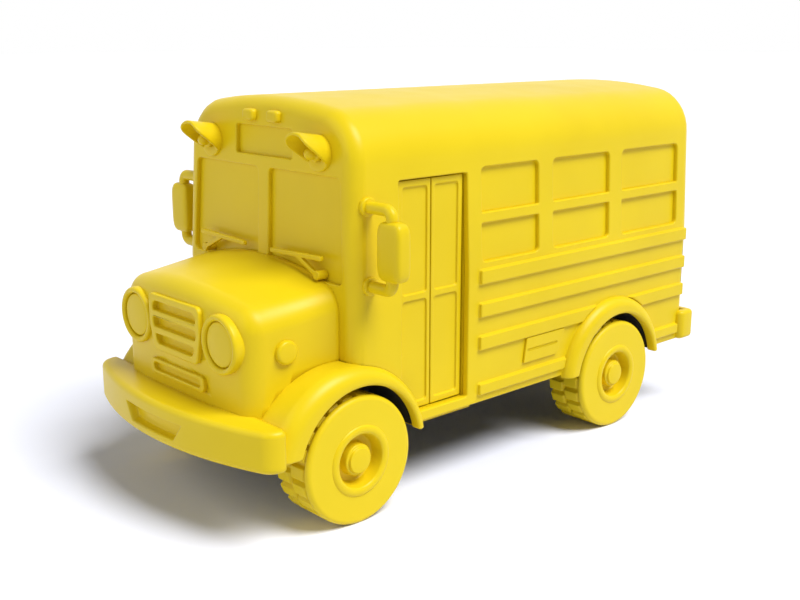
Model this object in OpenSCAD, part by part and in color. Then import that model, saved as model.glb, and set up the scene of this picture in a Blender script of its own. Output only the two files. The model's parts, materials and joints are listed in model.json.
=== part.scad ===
// Toy school bus: a push-along moulded toy with rolling wheelsets and a two-leaf folding door.
// Millimetres. +Z is up, the ground is z = 0, the nose points to -Y and the doorway is on the +X side.

/* [Overall] */
// Length over both bumpers
bus_len = 218; // [212:1:250]
// Width of the body below the belt line
body_w = 90; // [86:1:100]
// Height of the roof crown above the ground
roof_z = 125; // [122:1:140]
// Height of the body's lower edge above the ground
floor_z = 25.2; // [24.6:0.2:26.4]
// Height of the belt line, where the sides start to lean in
belt_z = 70; // [69:0.5:71.5]
// Distance from the front bumper to the front wall of the cab
nose_len = 42.8; // [42:0.2:46]
// Distance from the rear wall to the back of the rear bumper
tail_len = 3.5; // [3:0.5:8]

/* [Body shell] */
// Thickness of the moulded walls
wall = 2.4; // [2:0.1:3]
// How far each side leans in from the belt to the eaves
side_lean = 1.6; // [0.5:0.1:2.5]
// Radius of the rounded roof corners
roof_corner_r = 16.3; // [12:0.1:20]
// Radius of the shallow roof crown
crown_r = 200; // [150:5:400]
// Rounding around the edges of the front and rear walls
edge_r = 5; // [3.5:0.5:6]
// Angle by which the windscreen wall leans back
rake_deg = 2.3; // [1:0.1:4]
// Clearance around plugged-in mouldings
fit_gap = 0.15; // [0.1:0.05:0.25]
// Radius of the screw bosses
boss_r = 3.2; // [2.8:0.1:4]
// Height of the screw bosses above the chassis
boss_h = 14; // [12:1:20]
// How far the screw bosses merge with the side walls
boss_sink = 0.6; // [0.4:0.1:1]
// Gap between the door frame and the front screw bosses
boss_front_gap = 1; // [0.5:0.1:3]
// Gap between the rear wall and the rear screw bosses
boss_rear_gap = 4; // [3:0.1:6]

/* [Windows and panels] */
// Depth of each pane below the wall's outer face
pane_recess = 1.5; // [0.8:0.1:1.9]
// Thickness of the flange behind each opening
flange_t = 1.6; // [1.2:0.1:2]
// Overlap of the flange behind the wall
flange_lap = 1.5; // [1:0.1:2]
// Corner radius of the window openings
win_corner_r = 1.8; // [1:0.1:2.5]
// Wall between the belt line and the side windows
win_sill = 2.3; // [2:0.1:4]
// Wall between the side windows and the eaves
win_head = 4; // [2.5:0.1:6]
// Wall between two side windows
win_gap = 7.4; // [5:0.1:9]
// Length of each side window over the one in front of it
win_growth = 1.12; // [1:0.01:1.2]
// Wall from the doorway to the first side window
pillar_w = 6.3; // [6:0.1:9]
// Wall from the last side window to the rear wall
rear_pillar_w = 9.4; // [9:0.1:12]
// Height of the cross bar above the window sill
bar_rise = 12.5; // [8:0.1:16]
// Height of the cross bar
bar_h = 3.5; // [2:0.1:5]
// Wall from the body side to the windscreen
screen_edge = 5.6; // [5.2:0.1:8]
// Width of the post between the windscreen panes
screen_post = 5.6; // [4:0.1:8]
// Wall between the belt line and the windscreen
screen_sill = 2; // [1.7:0.1:4]
// Wall between the windscreen and the eaves
screen_head = 3.5; // [3.2:0.1:6]
// How far the windscreen's outer edge leans in
screen_taper = 2; // [0:0.1:4]
// Width of the destination panel
sign_w = 29.4; // [20:0.1:34]
// Height of the destination panel
sign_h = 9; // [6:0.1:9.4]
// Height of the destination panel above the eaves
sign_rise = 0.1; // [0:0.1:1.5]
// Corner radius of the destination panel
sign_corner_r = 1; // [0.5:0.1:2]
// Width of each rear window pane
rear_pane_w = 17; // [12:0.5:18]
// Wall between the rear window panes
rear_pane_gap = 5; // [4:0.5:6]
// Width of the emergency door
rear_door_w = 26; // [20:0.5:34]
// Height of the emergency door
rear_door_h = 26; // [18:0.5:27]
// Wall between the emergency door and the belt line
rear_door_drop = 3; // [2:0.1:6]

/* [Side trim] */
// Number of rub rails on each side
rail_count = 3; // [2:1:3]
// Height of a rub rail
rail_h = 4.7; // [3:0.1:6]
// Distance between rub rails
rail_pitch = 11; // [10:0.1:12]
// How far the rub rails stand out
rail_proud = 1.3; // [0.8:0.1:2]
// Height of the sill rail above the body's lower edge
sill_rise = 2.8; // [1:0.1:4]
// Height of the sill rail
sill_h = 3.8; // [2:0.1:5]
// Gap from the doorway to the rails
rail_start = 4.7; // [3:0.1:8]
// Gap from the rails to the rear wall
rail_end = 3.7; // [2:0.1:5]
// Length of the side hatch along its top
hatch_len = 20; // [14:0.5:22]
// Height of the side hatch
hatch_h = 8.8; // [6:0.1:10]
// Slope of the hatch's two ends
hatch_slope = 4; // [0:0.1:5]
// How far the hatch stands out
hatch_proud = 0.9; // [0.6:0.1:1.2]
// Distance from the rear fender's front to the hatch's front edge
hatch_start = 19.7; // [17:0.1:26]
// Height of the groove across the hatch
hatch_groove = 0.6; // [0.4:0.1:1.2]
// Depth of the groove across the hatch
hatch_groove_d = 0.3; // [0.2:0.1:0.4]

/* [Doorway] */
// Distance from the front wall to the doorway
door_setback = 18.7; // [17:0.1:20]
// Width of the doorway
door_w = 29; // [26:0.5:30]
// Height of the door sill above the body's lower edge
door_sill = 3.3; // [3:0.1:4]
// Wall between the doorway and the eaves
door_head = 5.1; // [4.6:0.1:7]
// Corner radius of the doorway
door_corner_r = 0.8; // [0.4:0.1:1]
// Depth of the leaves below the body side
leaf_recess = 2.7; // [2.6:0.1:3.2]
// Thickness of a door leaf
leaf_t = 2; // [1.6:0.1:2.4]
// Running gap around the leaves
leaf_gap = 0.4; // [0.3:0.05:0.5]
// Gap between the two leaves
seam_gap = 0.5; // [0.4:0.05:0.8]
// Depth of the sunk panels in the leaves
leaf_panel = 0.7; // [0.4:0.1:0.9]
// Width of the leaf's border around its sunk panels
leaf_border = 2.1; // [1.6:0.1:3]
// Width of the leaf's upright edges beside its sunk panels
leaf_stile = 1.3; // [1:0.1:2]
// Distance of the upper leaf panels' sill below the belt line
leaf_rail_drop = 4; // [2:0.1:8]
// Corner radius of the sunk leaf panels
leaf_panel_r = 1.2; // [0.6:0.1:1.6]
// Width of the door frame around the doorway
frame_w = 3.5; // [3:0.1:4]
// Depth of the door frame behind the wall
frame_t = 5; // [4.8:0.1:6]
// How far the door frame hangs below the body's lower edge
frame_drop = 1.5; // [1:0.1:2]
// Radius of the pivot and guide pins
pivot_r = 0.8; // [0.6:0.05:0.9]
// Length of the pivot and guide pins
pivot_len = 2; // [1.5:0.1:2.4]
// Free depth beyond the ends of the pins
pin_end_gap = 0.5; // [0.4:0.1:0.8]
// Distance from the door pivot to the end of the guide slot
slot_stop = 4; // [3:0.1:5]
// Running clearance of the pins
pin_gap = 0.05; // [0.02:0.01:0.08]
// Clearance of the guide pin in its slot
guide_gap = 0.25; // [0.15:0.05:0.35]
// Radius of the hinge wire between the leaves
wire_r = 0.5; // [0.4:0.05:0.6]
// Radius of the hinge barrels
barrel_r = 1.1; // [1:0.05:1.3]
// Length of one hinge barrel
barrel_h = 6; // [4:0.5:8]
// Running gap around the hinge barrels
barrel_gap = 0.25; // [0.2:0.05:0.3]
// Distance of the hinge wire behind the leaves
hinge_back = 0.7; // [0.6:0.05:0.9]

/* [Wheels] */
// Radius over the tread
tyre_r = 20; // [19:0.5:20.5]
// Width of a tyre
tyre_w = 15.3; // [12:0.1:16]
// Height of the tread blocks
tread_h = 1.6; // [1:0.1:2]
// Width of the plain band along the tyre's outer edge
shoulder_w = 2.6; // [1.6:0.1:3.5]
// Number of tread blocks in each of the two rows
tread_blocks = 22; // [16:1:26]
// Width of the slots between the tread blocks
tread_gap = 1.6; // [1.2:0.1:2.2]
// Gap between the tread rows
row_gap = 0.6; // [0.4:0.1:1]
// Chamfer of the tyre's edges
tread_chamfer = 0.5; // [0.3:0.1:0.6]
// Rounding of the tyre's outer edge
tyre_edge_r = 1.4; // [0.8:0.1:1.8]
// Radius of the rim where the tyre sits
rim_r = 10.5; // [9.5:0.1:11]
// How far the rim's bead laps over the tyre
bead_lap = 0.7; // [0.4:0.1:1]
// How far the bead stands out of the tyre
bead_proud = 0.6; // [0.4:0.1:0.8]
// Radius of the dish in the rim
dish_r = 8.3; // [7.5:0.1:9]
// Depth of the dish
dish_depth = 4.2; // [3:0.1:5]
// Draft of the dish's wall
dish_draft = 0.6; // [0.2:0.1:0.8]
// Distance of the rim's inner end from the tyre's inner face
rim_inset = 0.6; // [0.3:0.1:1]
// Radius of the hub
hub_r = 4.9; // [4.5:0.1:5.5]
// Depth of the hub's face below the tyre's face
hub_set = 1; // [0.8:0.1:1.5]
// Thickness of the hub's closed end
hub_skin = 1; // [0.8:0.1:1.5]
// Radius of the hub cap
hub_cap_r = 4; // [3:0.1:4.3]
// Thickness of the hub cap
hub_cap_t = 0.9; // [0.6:0.1:1.2]
// Chamfer of the hub cap
hub_cap_chamfer = 0.4; // [0.2:0.1:0.5]
// Radius of the steel axles
axle_r = 2; // [1.5:0.1:2.2]
// Clearance of pressed fits
press_gap = 0.02; // [0.01:0.01:0.04]
// How far the wheels stand out of the body side
wheel_proud = 2.2; // [1:0.1:3]
// Distance from the front bumper to the front axle
front_overhang = 43; // [42.5:0.1:44]
// Distance between the axles
wheelbase = 124.7; // [118:0.1:128]

/* [Fenders and bumpers] */
// Gap between the tread and the wheel well
well_gap = 3.2; // [2.6:0.1:3.6]
// Gap between the tyre's inner face and the wheel well
well_side_gap = 2.5; // [1.5:0.1:3]
// Thickness of the wheel well lining
well_t = 1.8; // [1.2:0.1:2]
// How far the fenders stand out of the body side
fender_proud = 3.6; // [3:0.1:5]
// Outer radius of the front fenders
front_fender_r = 29.3; // [28.5:0.1:30]
// How far the front fender's arch sits ahead of the axle
fender_lead = 2.6; // [1:0.1:3]
// How far the rear fender's arch sits ahead of and above the axle
rear_fender_shift = 1.6; // [0.5:0.1:2]
// Outer radius of the rear fenders
rear_fender_r = 27.9; // [27:0.1:28.5]
// Rounding of the fenders' outer edge
fender_edge_r = 3.2; // [2:0.1:3.5]
// Gap from the body's lower edge down to the fender tips
fender_drop = 0.9; // [0.2:0.1:1.2]
// Height of the front fenders' front tip above the body's lower edge
fender_tip_rise = 1.5; // [1:0.1:2]
// Distance of the front bumper's lower edge below the body's lower edge
bumper_drop = 0.8; // [0:0.1:1.2]
// Height of the front bumper
bumper_h = 12.8; // [10:0.1:13]
// Radius of the front bumper's bow
bumper_bow_r = 125; // [122:1:160]
// Radius of the front bumper's corners
bumper_corner_r = 6; // [4:0.1:6.2]
// Length of the front bumper's straight ends behind its corners
bumper_wrap = 0.7; // [0.4:0.1:2]
// Depth of the panel sunk in the front bumper
bumper_panel_d = 2.6; // [1:0.1:3]
// Width of that panel along its top
bumper_panel_w = 32; // [24:0.5:40]
// Height of that panel
bumper_panel_h = 5.9; // [5:0.1:8]
// Slope of that panel's two ends
bumper_panel_slope = 4.4; // [2:0.1:6]
// Height of that panel above the bumper's lower edge
bumper_panel_rise = 1.8; // [0.2:0.1:2]
// Height of the rear bumper
rear_bumper_h = 11.4; // [8:0.1:13]
// Distance that the rear bumper wraps round the body
rear_wrap = 5.5; // [5:0.1:8]
// Distance of the rear bumper's ends in from the fenders' faces
rear_bumper_inset = 1; // [0.5:0.1:1.5]
// Corner radius of the rear bumper
rear_bumper_r = 2.5; // [1.5:0.1:3]

/* [Nose] */
// Width of the hood at the windscreen
hood_rear_w = 76; // [72:0.5:78]
// Width of the hood at its front
hood_front_w = 71; // [70:0.5:73]
// Height of the hood at the windscreen
hood_rear_z = 76; // [74:0.5:78]
// Height of the hood at its front
hood_front_z = 72.5; // [71:0.5:74]
// Length of the hood
hood_len = 32.1; // [31.5:0.1:33]
// Radius of the hood's shoulders
hood_corner_r = 8.5; // [7.5:0.1:10]
// Radius of the hood's crown
hood_crown_r = 120; // [90:1:160]
// Rounding of the hood's front edge
hood_edge_r = 6; // [5:0.1:7]
// Radius of the bowed hood front
hood_bow_r = 300; // [200:10:500]
// Thickness of the hood's walls
hood_wall = 2; // [1.6:0.1:2.4]
// Height of the grille's middle
grille_z = 57.5; // [56:0.1:58]
// Width of the grille
grille_w = 28.4; // [24:0.1:29]
// Height of the grille
grille_h = 17.8; // [15:0.1:18]
// Corner radius of the grille
grille_corner_r = 2; // [1:0.1:2.2]
// How far the grille stands out of the hood
grille_proud = 1.1; // [0.8:0.1:2]
// Width of the grille's border and bars
grille_bar = 2.2; // [1.6:0.1:2.6]
// Number of slots in the grille
grille_slots = 3; // [2:1:4]
// Depth of the slots in the grille
slot_depth = 2.2; // [1:0.1:2.3]
// Height of the lower intake's middle
intake_z = 43; // [42:0.1:44]
// Width of the lower intake
intake_w = 30; // [20:0.1:34]
// Height of the lower intake
intake_h = 5; // [4:0.1:6]
// Width of the lower intake's closed ends
intake_end = 2; // [1:0.1:3]
// How far the lower intake stands out of the hood
intake_proud = 1; // [0.6:0.1:1.5]
// Depth of the pockets that hold the grille and intake
pocket_d = 1.5; // [1.3:0.1:1.6]
// Distance of the headlights from the middle
headlight_x = 23.4; // [23.2:0.1:23.8]
// Height of the headlights
headlight_z = 57.2; // [56:0.1:58]
// Outer radius of the headlight bezels
bezel_r = 8.9; // [8:0.1:9]
// Width of a headlight bezel's rim
bezel_rim = 1.9; // [1.4:0.1:2.4]
// How far the bezels stand out of the hood's middle
bezel_proud = 1; // [0.8:0.1:2]
// Depth of the headlight bezels
bezel_d = 8; // [7:0.1:9]
// Groove between bezel and lens
lens_gap = 0.4; // [0.3:0.05:0.6]
// Thickness of the headlight lenses
lens_t = 2.6; // [2:0.1:3.4]
// Radius of the round lamps on the hood's sides
side_lamp_r = 3.6; // [3:0.1:4]
// Height of the round side lamps
side_lamp_z = 55; // [54.5:0.1:56]
// Distance of the side lamps ahead of the front wall
side_lamp_y = 18.3; // [17:0.1:20]
// How far the side lamps stand out
side_lamp_proud = 1.5; // [1:0.1:2]

/* [Lamps, wipers and mirrors] */
// Distance of the warning lamps in from the body side
lamp_inset = 16.8; // [15:0.1:20]
// Height of the warning lamps above the eaves
lamp_rise = 3; // [2:0.1:4]
// Radius of the warning lamp hoods at the wall
lamp_r = 5.4; // [4.6:0.1:6]
// Radius of the warning lamp hoods at their mouth
lamp_mouth_r = 6.4; // [5.6:0.1:7]
// Length of the warning lamp hoods
lamp_len = 9.6; // [8:0.1:12]
// Angle of the warning lamp hoods' slanted lower edge
lamp_slant = 38; // [20:1:50]
// Depth of the warning lamp hoods' sides below their middle, at the wall
lamp_side_drop = 3.2; // [2.6:0.1:3.6]
// Thickness of the warning lamp hoods
lamp_wall = 1; // [0.8:0.1:1.2]
// Radius of the warning lamp bulbs
bulb_r = 2.3; // [1.8:0.1:2.6]
// Distance of the marker lamps from the middle
marker_x = 6.3; // [5:0.1:9]
// Distance of the marker lamps below the roof crown
marker_drop = 6; // [5.4:0.1:6.2]
// Width of a marker lamp
marker_w = 5.8; // [3:0.1:6]
// Height of a marker lamp
marker_h = 3.6; // [2:0.1:4]
// How far the marker lamps stand out
marker_proud = 2; // [1:0.1:3]
// Distance of the wiper pivots from the middle
wiper_x = 30; // [26:0.5:32]
// Height of the wiper pivots above the belt line
wiper_rise = 4; // [3.6:0.1:5]
// Height from the wiper pivots to the blades
wiper_lift = 4.8; // [3:0.1:6]
// Distance from the wiper pivots to the middle of the blades
wiper_grip = 10; // [8:0.5:11]
// Length of a wiper blade
blade_len = 25; // [18:0.5:27]
// Length of blade outside the wiper pivots
blade_tail = 2; // [1:0.1:3]
// Rise of the blades from end to end
blade_rise = 0.8; // [0:0.1:1.2]
// Thickness of the wiper bars
wiper_t = 1.4; // [1:0.1:1.8]
// Distance of the wiper bars ahead of the wall
wiper_clear = 1; // [0.6:0.1:1.5]
// Distance of the mirror arms behind the front wall
mirror_setback = 6.2; // [5.8:0.1:8]
// Height of the upper mirror arm above the belt line
mirror_rise = 25.3; // [24:0.1:27]
// Distance between the two mirror arms
mirror_span = 23.3; // [22:0.1:25]
// Radius of the mirror arms
mirror_arm_r = 1.8; // [1.4:0.1:2]
// Reach of the mirror arms from the body side
mirror_reach = 9.6; // [9:0.1:12]
// Radius of the mirror arm elbows
elbow_r = 2.4; // [2.2:0.1:3]
// How much thicker the elbows are than the arms
elbow_swell = 0.12; // [0.1:0.01:0.2]
// Length of the mirror arm between elbow and head
stub_len = 0.6; // [0.4:0.1:2]
// Radius of the mirror arm collars
collar_r = 2.8; // [2.4:0.1:3.2]
// Thickness of the mirror arm collars
collar_t = 1; // [0.6:0.1:1.4]
// Width of a mirror head
mirror_w = 10; // [8:0.1:11]
// Depth of a mirror head
mirror_d = 5.6; // [4.5:0.1:6.4]
// Distance of the mirror heads out from their arms
mirror_offset = 0.5; // [0:0.1:1]
// Rounding of a mirror head
mirror_edge_r = 2.2; // [1:0.1:2.4]
// Distance of the tail lamps from the middle
tail_lamp_x = 33; // [28:0.5:35]
// Radius of the tail lamps
tail_lamp_r = 4; // [3:0.1:5]
// Radius of the lower tail lamps
tail_lamp_low_r = 3; // [2:0.1:4]
// Distance of the tail lamps below the belt line
tail_lamp_drop = 8; // [6:0.5:10]
// Distance between the tail lamps
tail_lamp_pitch = 10.4; // [10:0.1:12]
// How far the tail lamps stand out
tail_lamp_proud = 1.4; // [1:0.1:2]

/* [Chassis] */
// Thickness of the base plate
plate_t = 2.5; // [2:0.1:2.6]
// Distance of the base plate behind the hood's front
plate_set = 6.5; // [6:0.1:8]
// Distance of the axle saddles from the middle
saddle_x = 22; // [18:0.5:23]
// Width of an axle saddle
saddle_w = 8; // [6:0.5:9]
// Length of an axle saddle
saddle_l = 10; // [8:0.5:14]
// Depth of the axle clips below the axles
clip_drop = 4.4; // [3.6:0.1:6]
// Thickness of the strap between the clip's cradles
clip_strap = 1.7; // [1.2:0.1:2]
// Length of the flat pad under the base plate
pad_l = 60; // [40:1:70]
// Width of the flat pad under the base plate
pad_w = 44; // [30:1:50]
// Depth of the flat pad under the base plate
pad_d = 2; // [1:0.1:3]
// Radius of the chassis screws
screw_r = 1.2; // [1:0.05:1.4]
// Radius of the screw heads
screw_head_r = 2.4; // [2:0.1:2.8]
// Height of the screw heads
screw_head_h = 1.4; // [1:0.1:1.6]
// Length of the screws' shanks
screw_len = 9; // [6:0.5:11]

/* [Hidden] */
$fn = 64;
tiny = 0.01;
far = 300;
past = 1;
margin = 5;
soft_steps = 5;
arc_steps = 8;
hood_steps = 4;
cap_scales = [0.3, 0.65];
barrel_count = 6;
yellow = "#e6c41c";
steel = "silver";

hw = body_w / 2;
front_y = -bus_len / 2;
cab_y = front_y + nose_len;
rear_y = bus_len / 2 - tail_len;
half_eave = hw - side_lean;
corner_x = half_eave - roof_corner_r;
crown_z = roof_z - crown_r;
eaves_z = crown_z + sqrt(pow(crown_r - roof_corner_r, 2) - pow(corner_x, 2));

door_y0 = cab_y + door_setback;
door_y1 = door_y0 + door_w;
door_z0 = floor_z + door_sill;
door_z1 = eaves_z - door_head;
win_y0 = door_y1 + pillar_w;
win_span = rear_y - rear_pillar_w - win_y0;
win_w = (win_span - 2 * win_gap) / (1 + win_growth + pow(win_growth, 2));
win_z0 = belt_z + win_sill;
win_z1 = eaves_z - win_head;
screen_top = eaves_z - screen_head - belt_z;
sign_bottom = eaves_z + sign_rise - belt_z;
rear_door_z1 = belt_z - rear_door_drop;

axle_f_y = front_y + front_overhang;
axle_r_y = axle_f_y + wheelbase;
wheel_x = hw + wheel_proud;
tread_base_r = tyre_r - tread_h;
axle_end = hub_set + hub_skin;
well_r = tyre_r + well_gap;
well_out_r = well_r + well_t;
well_x = wheel_x - tyre_w - well_side_gap;
fender_x0 = well_x + well_t;
fender_x1 = hw + fender_proud;
fender_y = axle_f_y - fender_lead;
rear_fender_y = axle_r_y - rear_fender_shift;
rear_fender_z = tyre_r + rear_fender_shift;
hatch_y0 = rear_fender_y - rear_fender_r - hatch_start;
hatch_y1 = hatch_y0 + hatch_len;
hatch_z1 = belt_z - (rail_count - 1) * rail_pitch - rail_h - fit_gap;
tip_z = floor_z - fender_drop;
tip_front_z = floor_z + fender_tip_rise;

hood_y = cab_y - hood_len;
bumper_z0 = floor_z - bumper_drop;
bumper_bow_a = asin((fender_x1 - bumper_corner_r) / (bumper_bow_r - bumper_corner_r));
bumper_corner_y = front_y + bumper_bow_r - (bumper_bow_r - bumper_corner_r) * cos(bumper_bow_a);
bumper_tip_y = bumper_corner_y + bumper_wrap;
hood_z0 = floor_z + plate_t;
nose_hw = well_x - well_t - 2 * fit_gap;
frame_x0 = hw - wall - frame_t;
leaf_x1 = hw - leaf_recess;
leaf_x0 = leaf_x1 - leaf_t;
leaf_x = (leaf_x0 + leaf_x1) / 2;
seam_y = (door_y0 + door_y1) / 2;
pivot_y = door_y1 - leaf_gap - leaf_t / 2;
guide_y = 2 * seam_y - pivot_y;
hinge_x = leaf_x0 - hinge_back;
leaf_z0 = door_z0 + leaf_gap;
leaf_z1 = door_z1 - leaf_gap;
boss_x = hw - wall - boss_r + boss_sink;
boss_y = [door_y1 + frame_w + boss_r + boss_front_gap, rear_y - wall - boss_r - boss_rear_gap];
plate_hw = hw - wall - fit_gap;
mirror_y = cab_y + mirror_setback;
mirror_top_z = belt_z + mirror_rise;
mirror_x = hw + mirror_reach;

// Outlines

function unit(v) = v / norm(v);

function rest(pts) = [for (k = [1:len(pts) - 1]) pts[k]];

function arc(c, r, a0, a1, n) =
    [for (k = [0:n]) let (a = a0 + (a1 - a0) * k / n) c + r * [cos(a), sin(a)]];

// Corner q between p and s as a short arc of radius r
function corner_arc(p, q, s, r) =
    let (u = unit(p - q), v = unit(s - q))
    let (half = acos(u * v) / 2)
    let (c = q + unit(u + v) * r / sin(half))
    let (t = q + u * r / tan(half) - c)
    let (a0 = atan2(t.y, t.x), turn = cross(u, v) > 0 ? -1 : 1)
    arc(c, r, a0, a0 + turn * (180 - 2 * half), soft_steps);

function soft(pts, r) =
    let (n = len(pts))
    [for (k = [0:n - 1]) each corner_arc(pts[(k + n - 1) % n], pts[k], pts[(k + 1) % n], r)];

function rect(x0, z0, x1, z1) = [[x0, z0], [x1, z0], [x1, z1], [x0, z1]];

// Arched cross-section: straight sides, round shoulders and a shallow crown, inset by i
function arch(half, eave, belt, z0, top, shoulder, crown, i) =
    let (cx = eave - shoulder, cz = top - crown)
    let (ez = cz + sqrt(pow(crown - shoulder, 2) - cx * cx))
    let (a = atan2(ez - cz, cx))
    let (roof = arc([0, cz], crown - i, a, 180 - a, arc_steps))
    concat(
        [[half - i, z0], [half - i, belt]],
        arc([cx, ez], shoulder - i, 0, a, arc_steps),
        [for (k = [1:arc_steps - 1]) roof[k]],
        arc([-cx, ez], shoulder - i, 180 - a, 180, arc_steps),
        [[i - half, belt], [i - half, z0]]);

function body_section(i, z0) = arch(hw, half_eave, belt_z, z0, roof_z, roof_corner_r, crown_r, i);

// Distance of the side wall from the middle at height z, inset by i
function side_x(z, i) = hw - i - side_lean * max(0, z - belt_z) / (eaves_z - belt_z);

function win_start(k) = win_y0 + k * win_gap + win_w * (k == 0 ? 0 : k == 1 ? 1 : 1 + win_growth);
function win_end(k) = win_start(k) + win_w * pow(win_growth, k);

// Shape helpers

module along_x(x0, x1) {
    translate([x0, 0, 0]) rotate([90, 0, 90]) linear_extrude(x1 - x0) children();
}

module along_y(y0, y1) {
    translate([0, y1, 0]) rotate([90, 0, 0]) linear_extrude(y1 - y0) children();
}

module along_z(z0, z1) {
    translate([0, 0, z0]) linear_extrude(z1 - z0) children();
}

module block(x0, x1, y0, y1, z0, z1) {
    translate([x0, y0, z0]) cube([x1 - x0, y1 - y0, z1 - z0]);
}

// Left pieces are drawn on +X, right pieces are their mirror image
module sided(side) {
    mirror([side > 0 ? 0 : 1, 0, 0]) children();
}

// Frame of the raked windscreen wall: y runs into the wall, z up it from the belt line
module on_front() {
    translate([0, cab_y, belt_z]) rotate([-rake_deg, 0, 0]) children();
}

// Round bar along X
module bar_x(x0, x1, r, y, z) {
    translate([x0, y, z]) rotate([0, 90, 0]) cylinder(r = r, h = x1 - x0);
}

// Round bar along Y
module bar_y(y0, y1, r, x, z) {
    translate([x, y0, z]) rotate([-90, 0, 0]) cylinder(r = r, h = y1 - y0);
}

// Skin through a row of rings with equal point counts, listed from front to back; fold bends the front
// cap at the belt line
module loft(rings, fold) {
    n = len(rings[0]);
    last = (len(rings) - 1) * n;
    sides = [for (j = [0:len(rings) - 2]) for (i = [0:n - 1])
        let (a = j * n + i, b = j * n + (i + 1) % n)
        each [[a, b, b + n], [a, b + n, a + n]]];
    mid = floor(n / 2);
    low = [[n - 1, n - 2, 1], [n - 1, 1, 0]];
    folded = concat(low, [for (k = [2:n - 3]) [k + 1, k, 1]]);
    front = fold ? folded : [for (k = [1:n - 2]) [(mid + k + 1) % n, (mid + k) % n, mid]];
    back = [for (k = [1:n - 2]) [last + mid, last + (mid + k) % n, last + (mid + k + 1) % n]];
    polyhedron(points = [for (ring = rings) each ring], faces = concat(sides, front, back));
}

// Body shell

module body_outer() {
    rake = tan(rake_deg);
    front = [for (k = [0:soft_steps]) let (a = 90 * k / soft_steps)
        [for (p = body_section(edge_r * (1 - sin(a)), floor_z))
            [p.x, cab_y + edge_r * (1 - cos(a)) + rake * max(0, p.y - belt_z), p.y]]];
    back = [for (k = [soft_steps:-1:0]) let (a = 90 * k / soft_steps)
        [for (p = body_section(edge_r * (1 - sin(a)), floor_z))
            [p.x, rear_y - edge_r * (1 - cos(a)), p.y]]];
    loft(concat(front, back), true);
}

module cavity() {
    inner_y = cab_y + wall;
    inner_rear = rear_y - wall;
    bend = wall * tan(rake_deg / 2);
    top_y = inner_y + (roof_z - belt_z + bend) * tan(rake_deg);
    intersection() {
        along_y(cab_y, inner_rear) polygon(body_section(wall, floor_z - past));
        along_x(-hw, hw)
            polygon([[inner_y, 0], [inner_rear, 0], [inner_rear, roof_z], [top_y, roof_z],
                [inner_y, belt_z - bend]]);
    }
}

// Upright block with the plan of the body, for cutting what fits round it
module body_plan_block(z0, z1) {
    along_z(z0, z1) polygon(soft(rect(-hw, cab_y, hw, rear_y), edge_r));
}

// Side windows as 2D shapes in Y and Z, grown by g: the cross bar splits each into two panes
module side_panes(y0, y1, g) {
    bar_z = win_z0 + bar_rise;
    difference() {
        polygon(soft(rect(y0 - g, win_z0 - g, y1 + g, win_z1 + g), win_corner_r));
        polygon(rect(y0 - margin, bar_z + g, y1 + margin, bar_z + bar_h - g));
    }
}

module side_window_shapes(side, g) {
    for (k = [0:2]) side_panes(win_start(k), win_end(k), g);
    if (side < 0) side_panes(door_y0 + pillar_w / 2, door_y1, g);
}

function screen_outline(g) =
    let (x0 = screen_post / 2 - g, x1 = hw - screen_edge + g)
    soft([[x0, screen_sill - g], [x1, screen_sill - g], [x1 - screen_taper, screen_top + g],
        [x0, screen_top + g]], win_corner_r);

function sign_outline(g) =
    let (x = sign_w / 2 + g, z0 = sign_bottom - g, z1 = sign_bottom + sign_h + g)
    soft(rect(-x, z0, x, z1), sign_corner_r);

module rear_panes(g) {
    step = rear_pane_w + rear_pane_gap;
    for (k = [-1:1])
        polygon(soft(rect(k * step - rear_pane_w / 2 - g, win_z0 - g,
            k * step + rear_pane_w / 2 + g, win_z1 + g), win_corner_r));
}

module rear_door_shape(g) {
    x = rear_door_w / 2 + g;
    polygon(soft(rect(-x, rear_door_z1 - rear_door_h - g, x, rear_door_z1 + g), win_corner_r));
}

module rails(side) {
    start = side > 0 ? door_y1 + rail_start : door_y0;
    stop = rear_y - rail_end;
    difference() {
        union() {
            for (k = [0:rail_count - 1])
                block(hw - past, hw + rail_proud, start, stop,
                    belt_z - k * rail_pitch - rail_h, belt_z - k * rail_pitch);
            block(hw - past, hw + rail_proud, start, rear_y - rear_wrap - fit_gap,
                floor_z + sill_rise, floor_z + sill_rise + sill_h);
        }
        bar_x(hw, hw + margin, rear_fender_r + fit_gap, rear_fender_y, rear_fender_z);
        bar_x(hw, hw + margin, front_fender_r + fit_gap, fender_y, tyre_r);
    }
}

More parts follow.
